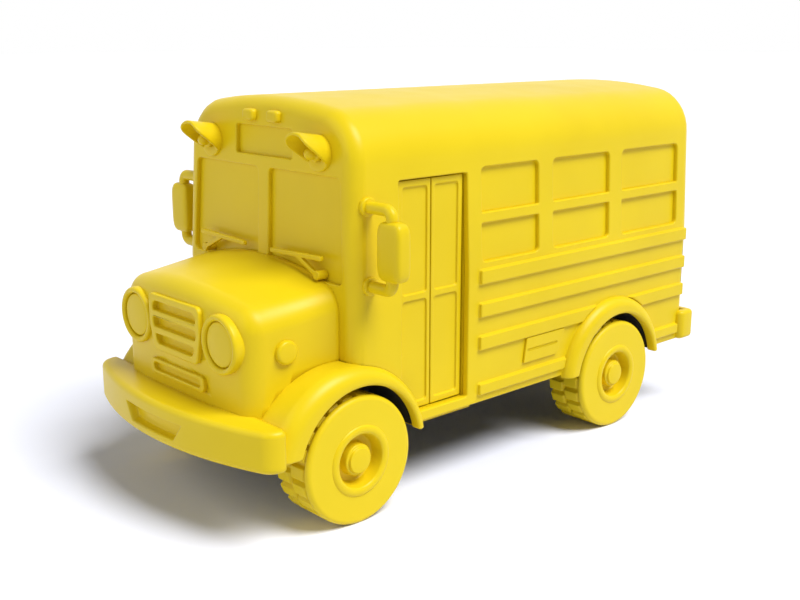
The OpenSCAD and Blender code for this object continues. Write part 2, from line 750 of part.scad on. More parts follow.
module body_shell() {
    color(yellow)
    difference() {
        union() {
            difference() {
                union() {
                    body_outer();
                    rails(1);
                    mirror([1, 0, 0]) rails(-1);
                }
                cavity();
            }
            for (side = [-1, 1]) for (y = boss_y)
                translate([side * boss_x, y, floor_z + plate_t]) cylinder(r = boss_r, h = boss_h);
        }
        along_x(half_eave - wall - past, hw + margin) side_window_shapes(1, 0);
        along_x(-hw - margin, past + wall - half_eave) side_window_shapes(-1, 0);
        on_front() along_y(-2 * past, wall + past) {
            for (side = [-1, 1]) sided(side) polygon(screen_outline(0));
            polygon(sign_outline(0));
        }
        along_y(rear_y - wall - past, rear_y + past) rear_panes(0);
        along_y(rear_y - wall - past, rear_y + past) rear_door_shape(0);
        along_x(frame_x0, hw + margin) polygon(soft(rect(door_y0, door_z0, door_y1, door_z1), door_corner_r));
        pin_holes();
        for (side = [-1, 1]) sided(side) {
            for (y = [axle_f_y, axle_r_y])
                bar_x(well_x - well_t - fit_gap, hw + margin, well_out_r + fit_gap, y, tyre_r);
            for (z = [mirror_top_z, mirror_top_z - mirror_span])
                bar_x(hw - wall - 2 * past, hw + past, mirror_arm_r + fit_gap, mirror_y, z);
            for (y = boss_y)
                translate([boss_x, y, floor_z]) cylinder(r = screw_r + pin_gap, h = plate_t + boss_h - wall);
        }
        block(-nose_hw - fit_gap, nose_hw + fit_gap, cab_y - past, cab_y + wall + past, 0, hood_z0 + fit_gap);
    }
}

// Window and panel inserts: a flange behind the wall and a plug in the opening

module side_strip(y0, y1, z0, z1, i0, i1) {
    along_y(y0, y1)
        polygon([[side_x(z0, i1), z0], [side_x(z0, i0), z0], [side_x(z1, i0), z1], [side_x(z1, i1), z1]]);
}

module side_windows(side) {
    y0 = side > 0 ? win_y0 : door_y0 + pillar_w / 2;
    z0 = win_z0 - flange_lap;
    z1 = win_z1 + flange_lap;
    color(yellow)
    sided(side)
    union() {
        side_strip(y0 - flange_lap, win_end(2) + flange_lap, z0, z1, wall, wall + flange_t);
        intersection() {
            side_strip(y0 - flange_lap, win_end(2) + flange_lap, z0, z1, pane_recess, wall + flange_t / 2);
            along_x(half_eave - wall - flange_t - past, hw + past) side_window_shapes(side, -fit_gap);
        }
    }
}

module windscreen(side) {
    color(yellow)
    sided(side)
    on_front() {
        along_y(wall, wall + flange_t) polygon(screen_outline(flange_lap - fit_gap));
        along_y(pane_recess, wall + flange_t / 2) polygon(screen_outline(-fit_gap));
    }
}

module destination_panel() {
    color(yellow)
    on_front() {
        along_y(wall, wall + flange_t) polygon(sign_outline(flange_lap - fit_gap));
        along_y(pane_recess, wall + flange_t / 2) polygon(sign_outline(-fit_gap));
    }
}

module rear_window() {
    inner = rear_y - wall;
    x = 1.5 * rear_pane_w + rear_pane_gap + flange_lap;
    color(yellow)
    union() {
        along_y(inner - flange_t, inner)
            polygon(rect(-x, win_z0 - flange_lap, x, win_z1 + flange_lap));
        along_y(inner - flange_t / 2, rear_y - pane_recess) rear_panes(-fit_gap);
    }
}

module emergency_door() {
    inner = rear_y - wall;
    color(yellow)
    union() {
        along_y(inner - flange_t, inner) rear_door_shape(flange_lap);
        along_y(inner - flange_t / 2, rear_y - pane_recess / 2) rear_door_shape(-fit_gap);
    }
}

module hatch_panel(side) {
    z0 = hatch_z1 - hatch_h;
    zm = hatch_z1 - hatch_h / 2;
    color(yellow)
    sided(side)
    difference() {
        along_x(hw, hw + hatch_proud)
            polygon([[hatch_y0 - hatch_slope / 3, z0], [hatch_y1 - hatch_slope, z0],
                [hatch_y1, hatch_z1], [hatch_y0, hatch_z1]]);
        block(hw + hatch_proud - hatch_groove_d, hw + margin, hatch_y0 + hatch_groove, hatch_y1 - hatch_slope,
            zm - hatch_groove / 2, zm + hatch_groove / 2);
    }
}

module tail_lamps() {
    z = belt_z - tail_lamp_drop;
    color(yellow)
    for (x = [-tail_lamp_x, tail_lamp_x]) {
        bar_y(rear_y, rear_y + tail_lamp_proud, tail_lamp_r, x, z);
        bar_y(rear_y, rear_y + tail_lamp_proud, tail_lamp_low_r, x, z - tail_lamp_pitch);
    }
}

// Nose

function hood_half(t) = (hood_rear_w + (hood_front_w - hood_rear_w) * t) / 2;
function hood_top(t) = hood_rear_z + (hood_front_z - hood_rear_z) * t;

// Ring of the hood at station t (0 at the windscreen, 1 at the front), inset by i, at y before the bow
function hood_ring(t, i, y, bow, z0, top_drop) =
    let (half = hood_half(t), top = hood_top(t) - top_drop)
    [for (p = arch(half, half, (z0 + top) / 2, z0, top, hood_corner_r, hood_crown_r, i))
        [p.x, y + bow * p.x * p.x / (2 * hood_bow_r), p.y]];

function shrink(ring, s, mid) =
    [for (p = ring) [p.x * s, p.y - (1 - s * s) * p.x * p.x / (2 * hood_bow_r), mid + (p.z - mid) * s]];

module hood_outer() {
    mid = (hood_z0 + hood_front_z) / 2;
    nose = hood_ring(1, hood_edge_r, hood_y, 1, hood_z0, 0);
    round_edge = [for (k = [0:soft_steps]) let (a = 90 * k / soft_steps)
        hood_ring(1, hood_edge_r * (1 - sin(a)), hood_y + hood_edge_r * (1 - cos(a)), 1, hood_z0, 0)];
    y1 = hood_y + hood_edge_r;
    top = [for (k = [hood_steps - 1:-1:0]) let (t = k / hood_steps)
        hood_ring(t, 0, cab_y + (y1 - cab_y) * t, t, hood_z0, 0)];
    loft(concat([for (s = cap_scales) shrink(nose, s, mid)], round_edge, top), false);
}

module hood_hollow() {
    mid = (hood_z0 + hood_front_z) / 2;
    y0 = cab_y + past;
    y1 = hood_y + hood_wall;
    rings = [for (k = [hood_steps:-1:0]) let (t = k / hood_steps)
        hood_ring(t, hood_wall, y0 + (y1 - y0) * t, t, hood_z0 - past, t * hood_edge_r / 3)];
    loft(concat([for (s = cap_scales) shrink(rings[0], s, mid)], rings), false);
}

function grille_outline(g) =
    let (x = grille_w / 2 + g, z0 = grille_z - grille_h / 2 - g, z1 = grille_z + grille_h / 2 + g)
    let (r = grille_corner_r)
    soft([[r - x, z0], [x - r, z0], [x, grille_z], [x, z1], [-x, z1], [-x, grille_z]], r);

function intake_outline(g) =
    let (x = intake_w / 2 + g, half = intake_h / 2 + g)
    soft(rect(-x, intake_z - half, x, intake_z + half), intake_h / 3);

module fender_cut(grow) {
    difference() {
        bar_x(fender_x0 - grow, fender_x1 + margin, front_fender_r + grow, fender_y, tyre_r);
        block(0, far, -far, bumper_tip_y - grow, -far, far);
    }
    bar_x(well_x - well_t - grow, fender_x0 + past, well_out_r + grow, axle_f_y, tyre_r);
}

module hood() {
    color(yellow)
    difference() {
        hood_outer();
        hood_hollow();
        along_y(hood_y - margin, hood_y + pocket_d) polygon(grille_outline(fit_gap));
        along_y(hood_y - margin, hood_y + pocket_d) polygon(intake_outline(fit_gap));
        for (side = [-1, 1]) sided(side) {
            bar_y(hood_y - margin, hood_y - bezel_proud + bezel_d, bezel_r + fit_gap,
                headlight_x, headlight_z);
            bar_x(hood_front_w / 2 - margin, hw, side_lamp_r + fit_gap, cab_y - side_lamp_y, side_lamp_z);
            fender_cut(fit_gap);
        }
    }
}

module front_grille() {
    pitch = (grille_h - grille_bar) / grille_slots;
    low = grille_z - grille_h / 2 + grille_bar;
    color(yellow)
    difference() {
        along_y(hood_y - grille_proud, hood_y + pocket_d) polygon(grille_outline(0));
        for (k = [0:grille_slots - 1])
            along_y(hood_y - grille_proud - past, hood_y - grille_proud + slot_depth)
                intersection() {
                    polygon(grille_outline(-grille_bar));
                    polygon(rect(-grille_w, low + k * pitch, grille_w, low + (k + 1) * pitch - grille_bar));
                }
    }
}

module lower_intake() {
    x = intake_w / 2 - intake_end;
    color(yellow)
    difference() {
        along_y(hood_y - intake_proud, hood_y + pocket_d) polygon(intake_outline(0));
        along_y(hood_y - intake_proud - past, hood_y + pocket_d / 2)
            polygon(soft(rect(-x, intake_z - intake_h / 4, x, intake_z + intake_h / 4), intake_h / 5));
    }
}

module headlight_bezel(side) {
    y0 = hood_y - bezel_proud;
    color(yellow)
    sided(side)
    difference() {
        bar_y(y0, y0 + bezel_d, bezel_r, headlight_x, headlight_z);
        bar_y(y0 - past, y0 + lens_t, bezel_r - bezel_rim, headlight_x, headlight_z);
    }
}

module headlight_lens(side) {
    color(yellow)
    sided(side)
    bar_y(hood_y - bezel_proud + lens_gap, hood_y - bezel_proud + lens_t, bezel_r - bezel_rim - lens_gap,
        headlight_x, headlight_z);
}

module side_lamp(side) {
    t = side_lamp_y / (hood_len - hood_edge_r);
    x = hood_half(t);
    color(yellow)
    sided(side)
    bar_x(x - hood_wall, x + side_lamp_proud, side_lamp_r, cab_y - side_lamp_y, side_lamp_z);
}

// Fenders and bumpers

// Ring about X with a rounded outer edge, from x0 to x1
module fender_ring(x0, x1, r, y, z) {
    e = fender_edge_r;
    translate([0, y, z]) rotate([0, 90, 0])
        rotate_extrude()
            polygon(concat([[well_r - margin, x0], [r, x0]], arc([r - e, x1 - e], e, 0, 90, soft_steps),
                [[well_r - margin, x1]]));
}

module front_fender(side) {
    color(yellow)
    sided(side)
    difference() {
        fender_ring(fender_x0, fender_x1, front_fender_r, fender_y, tyre_r);
        bar_x(0, far, well_r, axle_f_y, tyre_r);
        body_plan_block(0, belt_z);
        block(0, far, -far, bumper_tip_y, 0, far);
        block(0, far, -far, axle_f_y, -far, tip_front_z);
        block(0, far, axle_f_y - past, far, -far, tip_z);
    }
}

module rear_fender(side) {
    color(yellow)
    sided(side)
    difference() {
        fender_ring(hw, fender_x1, rear_fender_r, rear_fender_y, rear_fender_z);
        bar_x(0, far, well_r, axle_r_y, tyre_r);
        block(0, far, -far, far, -far, tip_z);
    }
}

// Plan of the hood's front from the right side to the left, grown by g
function hood_plan(g) =
    let (half = hood_half(1), e = hood_edge_r)
    let (side = [for (k = [0:soft_steps]) let (a = 90 * k / soft_steps)
        [half - e + (e + g) * cos(a), e - (e + g) * sin(a)]])
    let (right = concat(side, [for (k = [1:arc_steps]) [(half - e) * (1 - k / arc_steps), -g]]))
    let (left = [for (k = [len(right) - 2:-1:0]) [-right[k].x, right[k].y]])
    [for (p = concat(right, left)) [p.x, hood_y + p.y + p.x * p.x / (2 * hood_bow_r)]];

function bumper_outline() =
    let (a = bumper_bow_a, c = bumper_corner_r)
    let (corner = [fender_x1 - c, bumper_corner_y])
    let (nose = hood_plan(fit_gap))
    concat(
        rest(arc([0, front_y + bumper_bow_r], bumper_bow_r, 270 - a, 270 + a, 2 * arc_steps)),
        rest(arc(corner, c, 270 + a, 360, soft_steps)),
        [[fender_x1, bumper_tip_y], [nose[0].x, bumper_tip_y]],
        [for (p = nose) if (p.y < bumper_tip_y) p],
        [[-nose[0].x, bumper_tip_y], [-fender_x1, bumper_tip_y]],
        arc([-corner.x, corner.y], c, 180, 270 - a, soft_steps));

module front_bumper() {
    panel_x = bumper_panel_w / 2;
    foot_x = panel_x - bumper_panel_slope;
    panel_z0 = bumper_z0 + bumper_panel_rise;
    panel_z1 = panel_z0 + bumper_panel_h;
    color(yellow)
    difference() {
        along_z(bumper_z0, bumper_z0 + bumper_h) polygon(bumper_outline());
        along_y(front_y - past, front_y + bumper_panel_d)
            polygon([[-foot_x, panel_z0], [foot_x, panel_z0], [panel_x, panel_z1], [-panel_x, panel_z1]]);
    }
}

module rear_bumper() {
    x = fender_x1 - rear_bumper_inset;
    color(yellow)
    difference() {
        along_z(floor_z, floor_z + rear_bumper_h)
            polygon(soft(rect(-x, rear_y - rear_wrap, x, rear_y + tail_len), rear_bumper_r));
        body_plan_block(0, belt_z);
    }
}

// Lamps, wipers and mirrors

module warning_lamp_hood(side) {
    x = hw - lamp_inset;
    z = eaves_z + lamp_rise - belt_z;
    hollow = lamp_len - lamp_wall + tiny;
    color(yellow)
    sided(side)
    on_front() translate([x, 0, z]) rotate([90, 0, 0])
        union() {
            cylinder(r = lamp_r, h = lamp_wall);
            difference() {
                cylinder(r1 = lamp_r, r2 = lamp_mouth_r, h = lamp_len);
                translate([0, 0, lamp_wall])
                    cylinder(r1 = lamp_r - lamp_wall, r2 = lamp_mouth_r - lamp_wall, h = hollow);
                translate([0, -lamp_side_drop, lamp_wall]) rotate([90 - lamp_slant, 0, 0])
                    translate([-far / 2, 0, 0]) cube([far, far, far]);
            }
        }
}

module warning_lamp_bulb(side) {
    x = hw - lamp_inset;
    z = eaves_z + lamp_rise - belt_z;
    color(yellow)
    sided(side)
    on_front() translate([x, -lamp_wall, z]) rotate([90, 0, 0])
        union() {
            cylinder(r = bulb_r, h = bulb_r);
            translate([0, 0, bulb_r]) sphere(r = bulb_r);
        }
}

module marker_lamps() {
    z0 = roof_z - marker_drop - belt_z - marker_h / 2;
    color(yellow)
    on_front() for (x = [-marker_x, marker_x])
        along_y(-marker_proud, 0)
            polygon(soft(rect(x - marker_w / 2, z0, x + marker_w / 2, z0 + marker_h), marker_h / 4));
}

// Flat bar between two points of the windscreen wall
module wiper_bar(p, q) {
    d = q - p;
    translate([p.x, -wiper_clear, p.y]) rotate([90, -atan2(d.y, d.x), 0])
        translate([0, -wiper_t / 2, 0]) cube([norm(d), wiper_t, wiper_t]);
}

module wiper(side) {
    pivot = [wiper_x, wiper_rise];
    blade_x1 = wiper_x + blade_tail;
    blade_z = wiper_rise + wiper_lift;
    color(yellow)
    sided(side)
    on_front() union() {
        bar_y(-wiper_clear - wiper_t, pane_recess, wiper_t, pivot.x, pivot.y);
        wiper_bar(pivot, [wiper_x - wiper_grip, blade_z]);
        wiper_bar([blade_x1 - blade_len, blade_z - blade_rise / 2], [blade_x1, blade_z + blade_rise / 2]);
    }
}

// Arm from the body side that turns into the mirror head, dir is -1 for the upper arm and 1 for the lower
module mirror_arm_bar(z, dir) {
    r = mirror_arm_r;
    x0 = side_x(z, 0);
    bend = mirror_x - elbow_r;
    lap = 0.4;
    union() {
        bar_x(x0 - wall, bend + lap, r, mirror_y, z);
        difference() {
            bar_x(x0 - past, x0 + collar_t, collar_r, mirror_y, z);
            along_y(mirror_y - 2 * collar_r, mirror_y + 2 * collar_r) polygon(body_section(0, floor_z));
        }
        translate([bend, mirror_y, z + dir * elbow_r]) rotate([90, 0, 0]) rotate([0, 0, dir > 0 ? -90 : 0])
            rotate_extrude(angle = 90) translate([elbow_r, 0]) circle(r = r + elbow_swell);
        translate([mirror_x, mirror_y, dir > 0 ? z + elbow_r - lap : z - elbow_r - stub_len])
            cylinder(r = r, h = stub_len + lap);
    }
}

module mirror_arm(side) {
    color(yellow)
    sided(side) {
        mirror_arm_bar(mirror_top_z, -1);
        mirror_arm_bar(mirror_top_z - mirror_span, 1);
    }
}

// Block with all its edges rounded
module rounded_block(x0, x1, y0, y1, z0, z1, r) {
    intersection() {
        along_z(z0, z1) polygon(soft(rect(x0, y0, x1, y1), r));
        along_x(x0, x1) polygon(soft(rect(y0, z0, y1, z1), r));
        along_y(y0, y1) polygon(soft(rect(x0, z0, x1, z1), r));
    }
}

module mirror_head(side) {
    z0 = mirror_top_z - mirror_span + elbow_r + stub_len;
    z1 = mirror_top_z - elbow_r - stub_len;
    x = mirror_x + mirror_offset;
    color(yellow)
    sided(side)
    rounded_block(x - mirror_w / 2, x + mirror_w / 2, mirror_y - mirror_d / 2, mirror_y + mirror_d / 2,
        z0, z1, mirror_edge_r);
}

// Door

// Bore for the pivot pins of the rear leaf and slot for the guide pin of the front leaf
module pin_holes() {
    slot_r = pivot_r + guide_gap;
    depth = pivot_len + pin_end_gap;
    translate([leaf_x, pivot_y, door_z0 - depth])
        cylinder(r = pivot_r + pin_gap, h = door_z1 - door_z0 + 2 * depth);
    block(leaf_x - slot_r, leaf_x + slot_r, guide_y - slot_r, pivot_y - slot_stop,
        door_z1 - past, door_z1 + depth);
}

module door_frame() {
    color(yellow)
    difference() {
        intersection() {
            along_y(door_y0 - frame_w, door_y1 + frame_w) polygon(body_section(wall, 0));
            block(frame_x0, hw, door_y0 - frame_w, door_y1 + frame_w,
                floor_z - frame_drop, door_z1 + frame_w);
        }
        block(0, hw, door_y0, door_y1, door_z0, door_z1);
        pin_holes();
        bar_x(0, far, well_out_r + 2 * fit_gap, axle_f_y, tyre_r);
    }
}

// One leaf from its edge pin at edge_y to the seam; dir points from the pin to the seam
module leaf_blank(edge_y, dir) {
    seam = seam_y - dir * seam_gap / 2;
    y0 = min(edge_y, seam);
    y1 = max(edge_y, seam);
    sill = belt_z - leaf_rail_drop;
    difference() {
        union() {
            translate([leaf_x, edge_y, leaf_z0]) cylinder(d = leaf_t, h = leaf_z1 - leaf_z0);
            block(leaf_x0, leaf_x1, y0, y1, leaf_z0, leaf_z1);
        }
        for (z = [[leaf_z0 + leaf_border, sill - leaf_border], [sill, leaf_z1 - leaf_border]])
            along_x(leaf_x1 - leaf_panel, leaf_x1 + past)
                polygon(soft(rect(y0 + leaf_stile, z[0], y1 - leaf_stile, z[1]), leaf_panel_r));
    }
}

// Barrels of one leaf, at every second place from the bottom
module barrels(first, grow) {
    pitch = (leaf_z1 - leaf_z0 - 2 * barrel_h) / (barrel_count - 1);
    for (k = [first:2:barrel_count - 1])
        translate([hinge_x, seam_y, leaf_z0 + barrel_h + k * pitch - barrel_h / 2 - grow])
            cylinder(r = barrel_r + grow, h = barrel_h + 2 * grow);
}

module barrel_webs(first, dir) {
    pitch = (leaf_z1 - leaf_z0 - 2 * barrel_h) / (barrel_count - 1);
    for (k = [first:2:barrel_count - 1]) {
        z = leaf_z0 + barrel_h + k * pitch;
        y = seam_y - dir * 2 * barrel_r;
        block(hinge_x - barrel_r / 2, leaf_x0 + leaf_panel, min(seam_y, y), max(seam_y, y),
            z - barrel_h / 2, z + barrel_h / 2);
    }
}

module hinged_leaf(edge_y, dir, first) {
    difference() {
        union() {
            difference() {
                leaf_blank(edge_y, dir);
                barrels(1 - first, barrel_gap);
            }
            barrels(first, 0);
            barrel_webs(first, dir);
        }
        translate([hinge_x, seam_y, 0]) cylinder(r = wire_r + pin_gap, h = roof_z);
    }
}

module door_leaf_rear() {
    color(yellow)
    union() {
        hinged_leaf(pivot_y, -1, 0);
        for (z = [leaf_z0 - pivot_len, leaf_z1 - tiny])
            translate([leaf_x, pivot_y, z]) cylinder(r = pivot_r, h = pivot_len + tiny);
    }
}

module door_leaf_front() {
    color(yellow)
    difference() {
        union() {
            hinged_leaf(guide_y, 1, 1);
            translate([leaf_x, guide_y, leaf_z1 - tiny]) cylinder(r = pivot_r, h = pivot_len + tiny);
        }
        bar_x(0, far, well_out_r + 2 * leaf_gap, axle_f_y, tyre_r);
    }
}

module door_hinge_pin() {
    color(steel)
    translate([hinge_x, seam_y, leaf_z0 + barrel_h / 2 - past])
        cylinder(r = wire_r, h = leaf_z1 - leaf_z0 - barrel_h + 2 * past);
}

// Chassis and wheelsets

module well_lining(y) {
    difference() {
        bar_x(well_x - well_t, hw - fit_gap, well_out_r, y, tyre_r);
        bar_x(well_x, far, well_r, y, tyre_r);
        block(0, far, -far, far, -far, floor_z);
        difference() {
            block(fender_x0 - fit_gap, far, -far, cab_y + edge_r, -far, far);
            body_plan_block(floor_z - past, belt_z);
        }
    }
}

module chassis() {
    plate_z1 = floor_z + plate_t;
    color(yellow)
    difference() {
        union() {
            block(-nose_hw, nose_hw, hood_y + plate_set, cab_y + wall + 2 * past, floor_z, plate_z1);
            difference() {
                block(-plate_hw, plate_hw, cab_y + wall + fit_gap, rear_y - wall - fit_gap,
                    floor_z, plate_z1);
                block(frame_x0 - fit_gap, hw, cab_y, door_y1 + frame_w + fit_gap, 0, far);
                for (side = [-1, 1]) sided(side) for (y = [axle_f_y, axle_r_y])
                    bar_x(well_x - well_t / 2, far, well_r + well_t / 2, y, tyre_r);
            }
            block(-pad_w / 2, pad_w / 2, -pad_l / 2, pad_l / 2, floor_z - pad_d, floor_z + tiny);
            for (side = [-1, 1]) sided(side) {
                well_lining(axle_f_y);
                well_lining(axle_r_y);
                for (y = [axle_f_y, axle_r_y])
                    block(saddle_x - saddle_w / 2, saddle_x + saddle_w / 2,
                        y - saddle_l / 2, y + saddle_l / 2, tyre_r, floor_z + tiny);
            }
        }
        for (y = [axle_f_y, axle_r_y]) bar_x(-hw, hw, axle_r + pin_gap, y, tyre_r);
        for (x = [-boss_x, boss_x]) for (y = boss_y) translate([x, y, floor_z - past]) {
            cylinder(r = screw_r + fit_gap, h = plate_t + 2 * past);
            cylinder(r = screw_head_r + fit_gap, h = screw_head_h + past);
        }
    }
}

module axle_clip(y) {
    z0 = tyre_r - clip_drop;
    x0 = saddle_x - saddle_w / 2;
    x1 = saddle_x + saddle_w / 2;
    color(yellow)
    difference() {
        block(-x1, x1, y - saddle_l / 2, y + saddle_l / 2, z0, tyre_r);
        block(-x0, x0, y - saddle_l, y + saddle_l, z0 + clip_strap, far);
        bar_x(-hw, hw, axle_r + pin_gap, y, tyre_r);
    }
}

module chassis_screws() {
    color(steel)
    for (x = [-boss_x, boss_x]) for (y = boss_y) translate([x, y, floor_z]) {
        cylinder(r = screw_head_r, h = screw_head_h);
        cylinder(r = screw_r, h = screw_len);
    }
}

module axle(y) {
    color(steel) bar_x(axle_end - wheel_x, wheel_x - axle_end, axle_r, y, tyre_r);
}

// Turned shape about the axle: profile points are radius and distance out of the tyre's face
module turned(side, y) {
    sided(side) translate([wheel_x, y, tyre_r]) rotate([0, 90, 0]) rotate_extrude() children();
}

module tyre(side, y) {
    row_w = (tyre_w - shoulder_w - 2 * row_gap) / 2;
    block_w = 2 * PI * tyre_r / tread_blocks - tread_gap;
    block_r = sqrt(pow(tyre_r, 2) - pow(block_w / 2, 2));
    root_r = tread_base_r - past;
    bead = rim_r + pin_gap;
    c = tread_chamfer;
    e = tyre_edge_r;
    color(yellow)
    union() {
        turned(side, y)
            polygon(concat([[bead, -tyre_w], [tread_base_r - 2 * c, -tyre_w], [tread_base_r, 2 * c - tyre_w],
                [tread_base_r, -shoulder_w], [tyre_r - c, -shoulder_w], [tyre_r, c - shoulder_w]],
                arc([tyre_r - e, -e], e, 0, 90, soft_steps), [[bead, 0]]));
        sided(side) translate([wheel_x, y, tyre_r]) rotate([0, 90, 0])
            for (row = [0, 1]) for (k = [0:tread_blocks - 1])
                rotate([0, 0, (k + row / 2) * 360 / tread_blocks])
                    translate([root_r, -block_w / 2, tiny - shoulder_w - (row + 1) * (row_w + row_gap)])
                        cube([block_r - root_r, block_w, row_w]);
    }
}

module rim(side, y) {
    bead_r = rim_r + bead_lap;
    bore = axle_r + press_gap;
    inner = rim_inset - tyre_w;
    color(yellow)
    turned(side, y)
        polygon([[0, -hub_set], [0, -axle_end], [bore, -axle_end], [bore, inner], [rim_r, inner],
            [rim_r, 0], [bead_r, press_gap], [bead_r, bead_proud / 2], [bead_r - bead_lap, bead_proud],
            [dish_r + bead_lap, bead_proud], [dish_r, 0], [dish_r - dish_draft, -dish_depth],
            [hub_r, -dish_depth], [hub_r, -hub_set]]);
}

module hub_cap(side, y) {
    top = hub_cap_t - hub_set;
    color(yellow)
    turned(side, y)
        polygon([[0, -hub_set], [hub_cap_r, -hub_set], [hub_cap_r, top - hub_cap_chamfer],
            [hub_cap_r - hub_cap_chamfer, top], [0, top]]);
}

body_shell();
chassis();
hood();
front_grille();
lower_intake();
headlight_bezel(1);  // headlight_bezel_left
headlight_bezel(-1);  // headlight_bezel_right
headlight_lens(1);  // headlight_lens_left
headlight_lens(-1);  // headlight_lens_right
side_lamp(1);  // side_lamp_left
side_lamp(-1);  // side_lamp_right
front_bumper();
rear_bumper();
front_fender(1);  // front_fender_left
front_fender(-1);  // front_fender_right
rear_fender(1);  // rear_fender_left
rear_fender(-1);  // rear_fender_right
windscreen(1);  // windscreen_left
windscreen(-1);  // windscreen_right
destination_panel();
side_windows(1);  // side_windows_left
side_windows(-1);  // side_windows_right
rear_window();
emergency_door();
tail_lamps();
hatch_panel(1);  // hatch_panel_left
hatch_panel(-1);  // hatch_panel_right
warning_lamp_hood(1);  // warning_lamp_hood_left
warning_lamp_hood(-1);  // warning_lamp_hood_right
warning_lamp_bulb(1);  // warning_lamp_bulb_left
warning_lamp_bulb(-1);  // warning_lamp_bulb_right
marker_lamps();
wiper(1);  // wiper_left
wiper(-1);  // wiper_right
mirror_arm(1);  // mirror_arm_left
mirror_arm(-1);  // mirror_arm_right
mirror_head(1);  // mirror_head_left
mirror_head(-1);  // mirror_head_right
door_frame();
door_leaf_rear();
door_leaf_front();
door_hinge_pin();
axle_clip(axle_f_y);  // axle_clip_front
axle_clip(axle_r_y);  // axle_clip_rear
chassis_screws();
axle(axle_f_y);  // front_axle
axle(axle_r_y);  // rear_axle
tyre(1, axle_f_y);  // tyre_front_left
tyre(-1, axle_f_y);  // tyre_front_right
tyre(1, axle_r_y);  // tyre_rear_left
tyre(-1, axle_r_y);  // tyre_rear_right
rim(1, axle_f_y);  // rim_front_left
rim(-1, axle_f_y);  // rim_front_right
rim(1, axle_r_y);  // rim_rear_left
rim(-1, axle_r_y);  // rim_rear_right
hub_cap(1, axle_f_y);  // hub_cap_front_left
hub_cap(-1, axle_f_y);  // hub_cap_front_right
hub_cap(1, axle_r_y);  // hub_cap_rear_left
hub_cap(-1, axle_r_y);  // hub_cap_rear_right
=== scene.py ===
# %% [markdown]
# # A moulded toy school bus
# The CAD model gives every piece its place and size. This script gives the pieces the look of satin
# injection-moulded plastic: soft edges, a faint mould texture and plain studio light. Pieces that a mould would
# round more than the CAD solid does are modelled again here, as finer meshes in the same place.

# %% Load the frame
import json
import math

import bmesh
import bpy
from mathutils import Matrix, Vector


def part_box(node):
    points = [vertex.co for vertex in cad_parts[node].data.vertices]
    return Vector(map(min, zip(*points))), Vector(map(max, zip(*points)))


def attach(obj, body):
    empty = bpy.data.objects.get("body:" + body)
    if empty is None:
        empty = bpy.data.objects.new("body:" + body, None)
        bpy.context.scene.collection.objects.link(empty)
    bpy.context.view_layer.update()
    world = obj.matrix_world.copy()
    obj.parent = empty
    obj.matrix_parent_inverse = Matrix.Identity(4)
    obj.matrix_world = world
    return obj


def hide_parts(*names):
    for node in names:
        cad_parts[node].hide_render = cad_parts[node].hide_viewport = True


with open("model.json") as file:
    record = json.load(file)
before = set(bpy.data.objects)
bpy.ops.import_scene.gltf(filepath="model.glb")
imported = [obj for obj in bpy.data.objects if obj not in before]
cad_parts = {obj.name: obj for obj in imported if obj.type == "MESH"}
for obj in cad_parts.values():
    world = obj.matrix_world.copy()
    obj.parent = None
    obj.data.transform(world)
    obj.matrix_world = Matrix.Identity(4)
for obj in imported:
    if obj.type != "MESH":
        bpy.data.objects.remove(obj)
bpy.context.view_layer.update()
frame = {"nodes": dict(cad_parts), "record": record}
nodes = frame["nodes"]
scene = bpy.context.scene
MM = 0.001

# %% [markdown]
# ## Camera
# A short telephoto lens looks from a little above the bus at its nose and its door side. It could be placed by eye,
# but it was fitted to points of the photograph, so that every edge can be compared in its place. It is set first,
# because every later step is rendered through it.

# %% Camera
CAMERA_PLACE = Vector((278.46, -262.40, 144.81)) * MM
CAMERA_TARGET = Vector((0, -7.02, 50.81)) * MM


def aim(item, target):
    item.rotation_euler = (Vector(target) - item.location).to_track_quat("-Z", "Y").to_euler()


camera = bpy.data.objects.new("camera", bpy.data.cameras.new("camera"))
camera.data.lens = 49.006
camera.data.sensor_width = 36
camera.data.clip_start = 0.01
camera.location = CAMERA_PLACE
aim(camera, CAMERA_TARGET)
scene.collection.objects.link(camera)
scene.camera = camera
print("camera:", tuple(round(v / MM, 1) for v in camera.location))

# %% [markdown]
# ## Plastic and steel
# One ABS moulding compound makes nearly the whole toy. Its colour drifts a little over a few centimetres, its gloss
# varies where the mould was polished, and a fine orange-peel texture breaks up the highlights. The colours are
# written as sRGB hex codes and turned into linear light by one function.

# %% Material helpers
def linear(code):
    channels = [int(code[k:k + 2], 16) / 255 for k in (0, 2, 4)]
    return [c / 12.92 if c <= 0.04045 else ((c + 0.055) / 1.055) ** 2.4 for c in channels] + [1.0]


def grey(value):
    return [value, value, value, 1.0]


def add(tree, kind, links=None, stops=None, **settings):
    """Adds a node, sets its sockets by name, links its inputs and fills its colour ramp."""
    node = tree.nodes.new(kind)
    for key, value in settings.items():
        node.inputs[key].default_value = value
    for socket, source in (links or {}).items():
        tree.links.new(source, node.inputs[socket])
    for k, (position, color) in enumerate(stops or []):
        node.color_ramp.elements[k].position = position
        node.color_ramp.elements[k].color = color
    return node


def new_material(name):
    material = bpy.data.materials.new(name)
    material.use_nodes = True
    return material, material.node_tree, material.node_tree.nodes["Principled BSDF"]


print("half-bright grey in linear light:", round(linear("808080")[0], 3))

# %% [markdown]
# ABS comes out of a polished steel mould with a satin skin. One flat colour would look like paint, so three noises
# drive the colour, the gloss and the bump: a drift over 45 mm, polish marks of 14 mm and an orange peel of 0.9 mm.
# Real orange peel is finer, and it is drawn this coarse so that it shows.

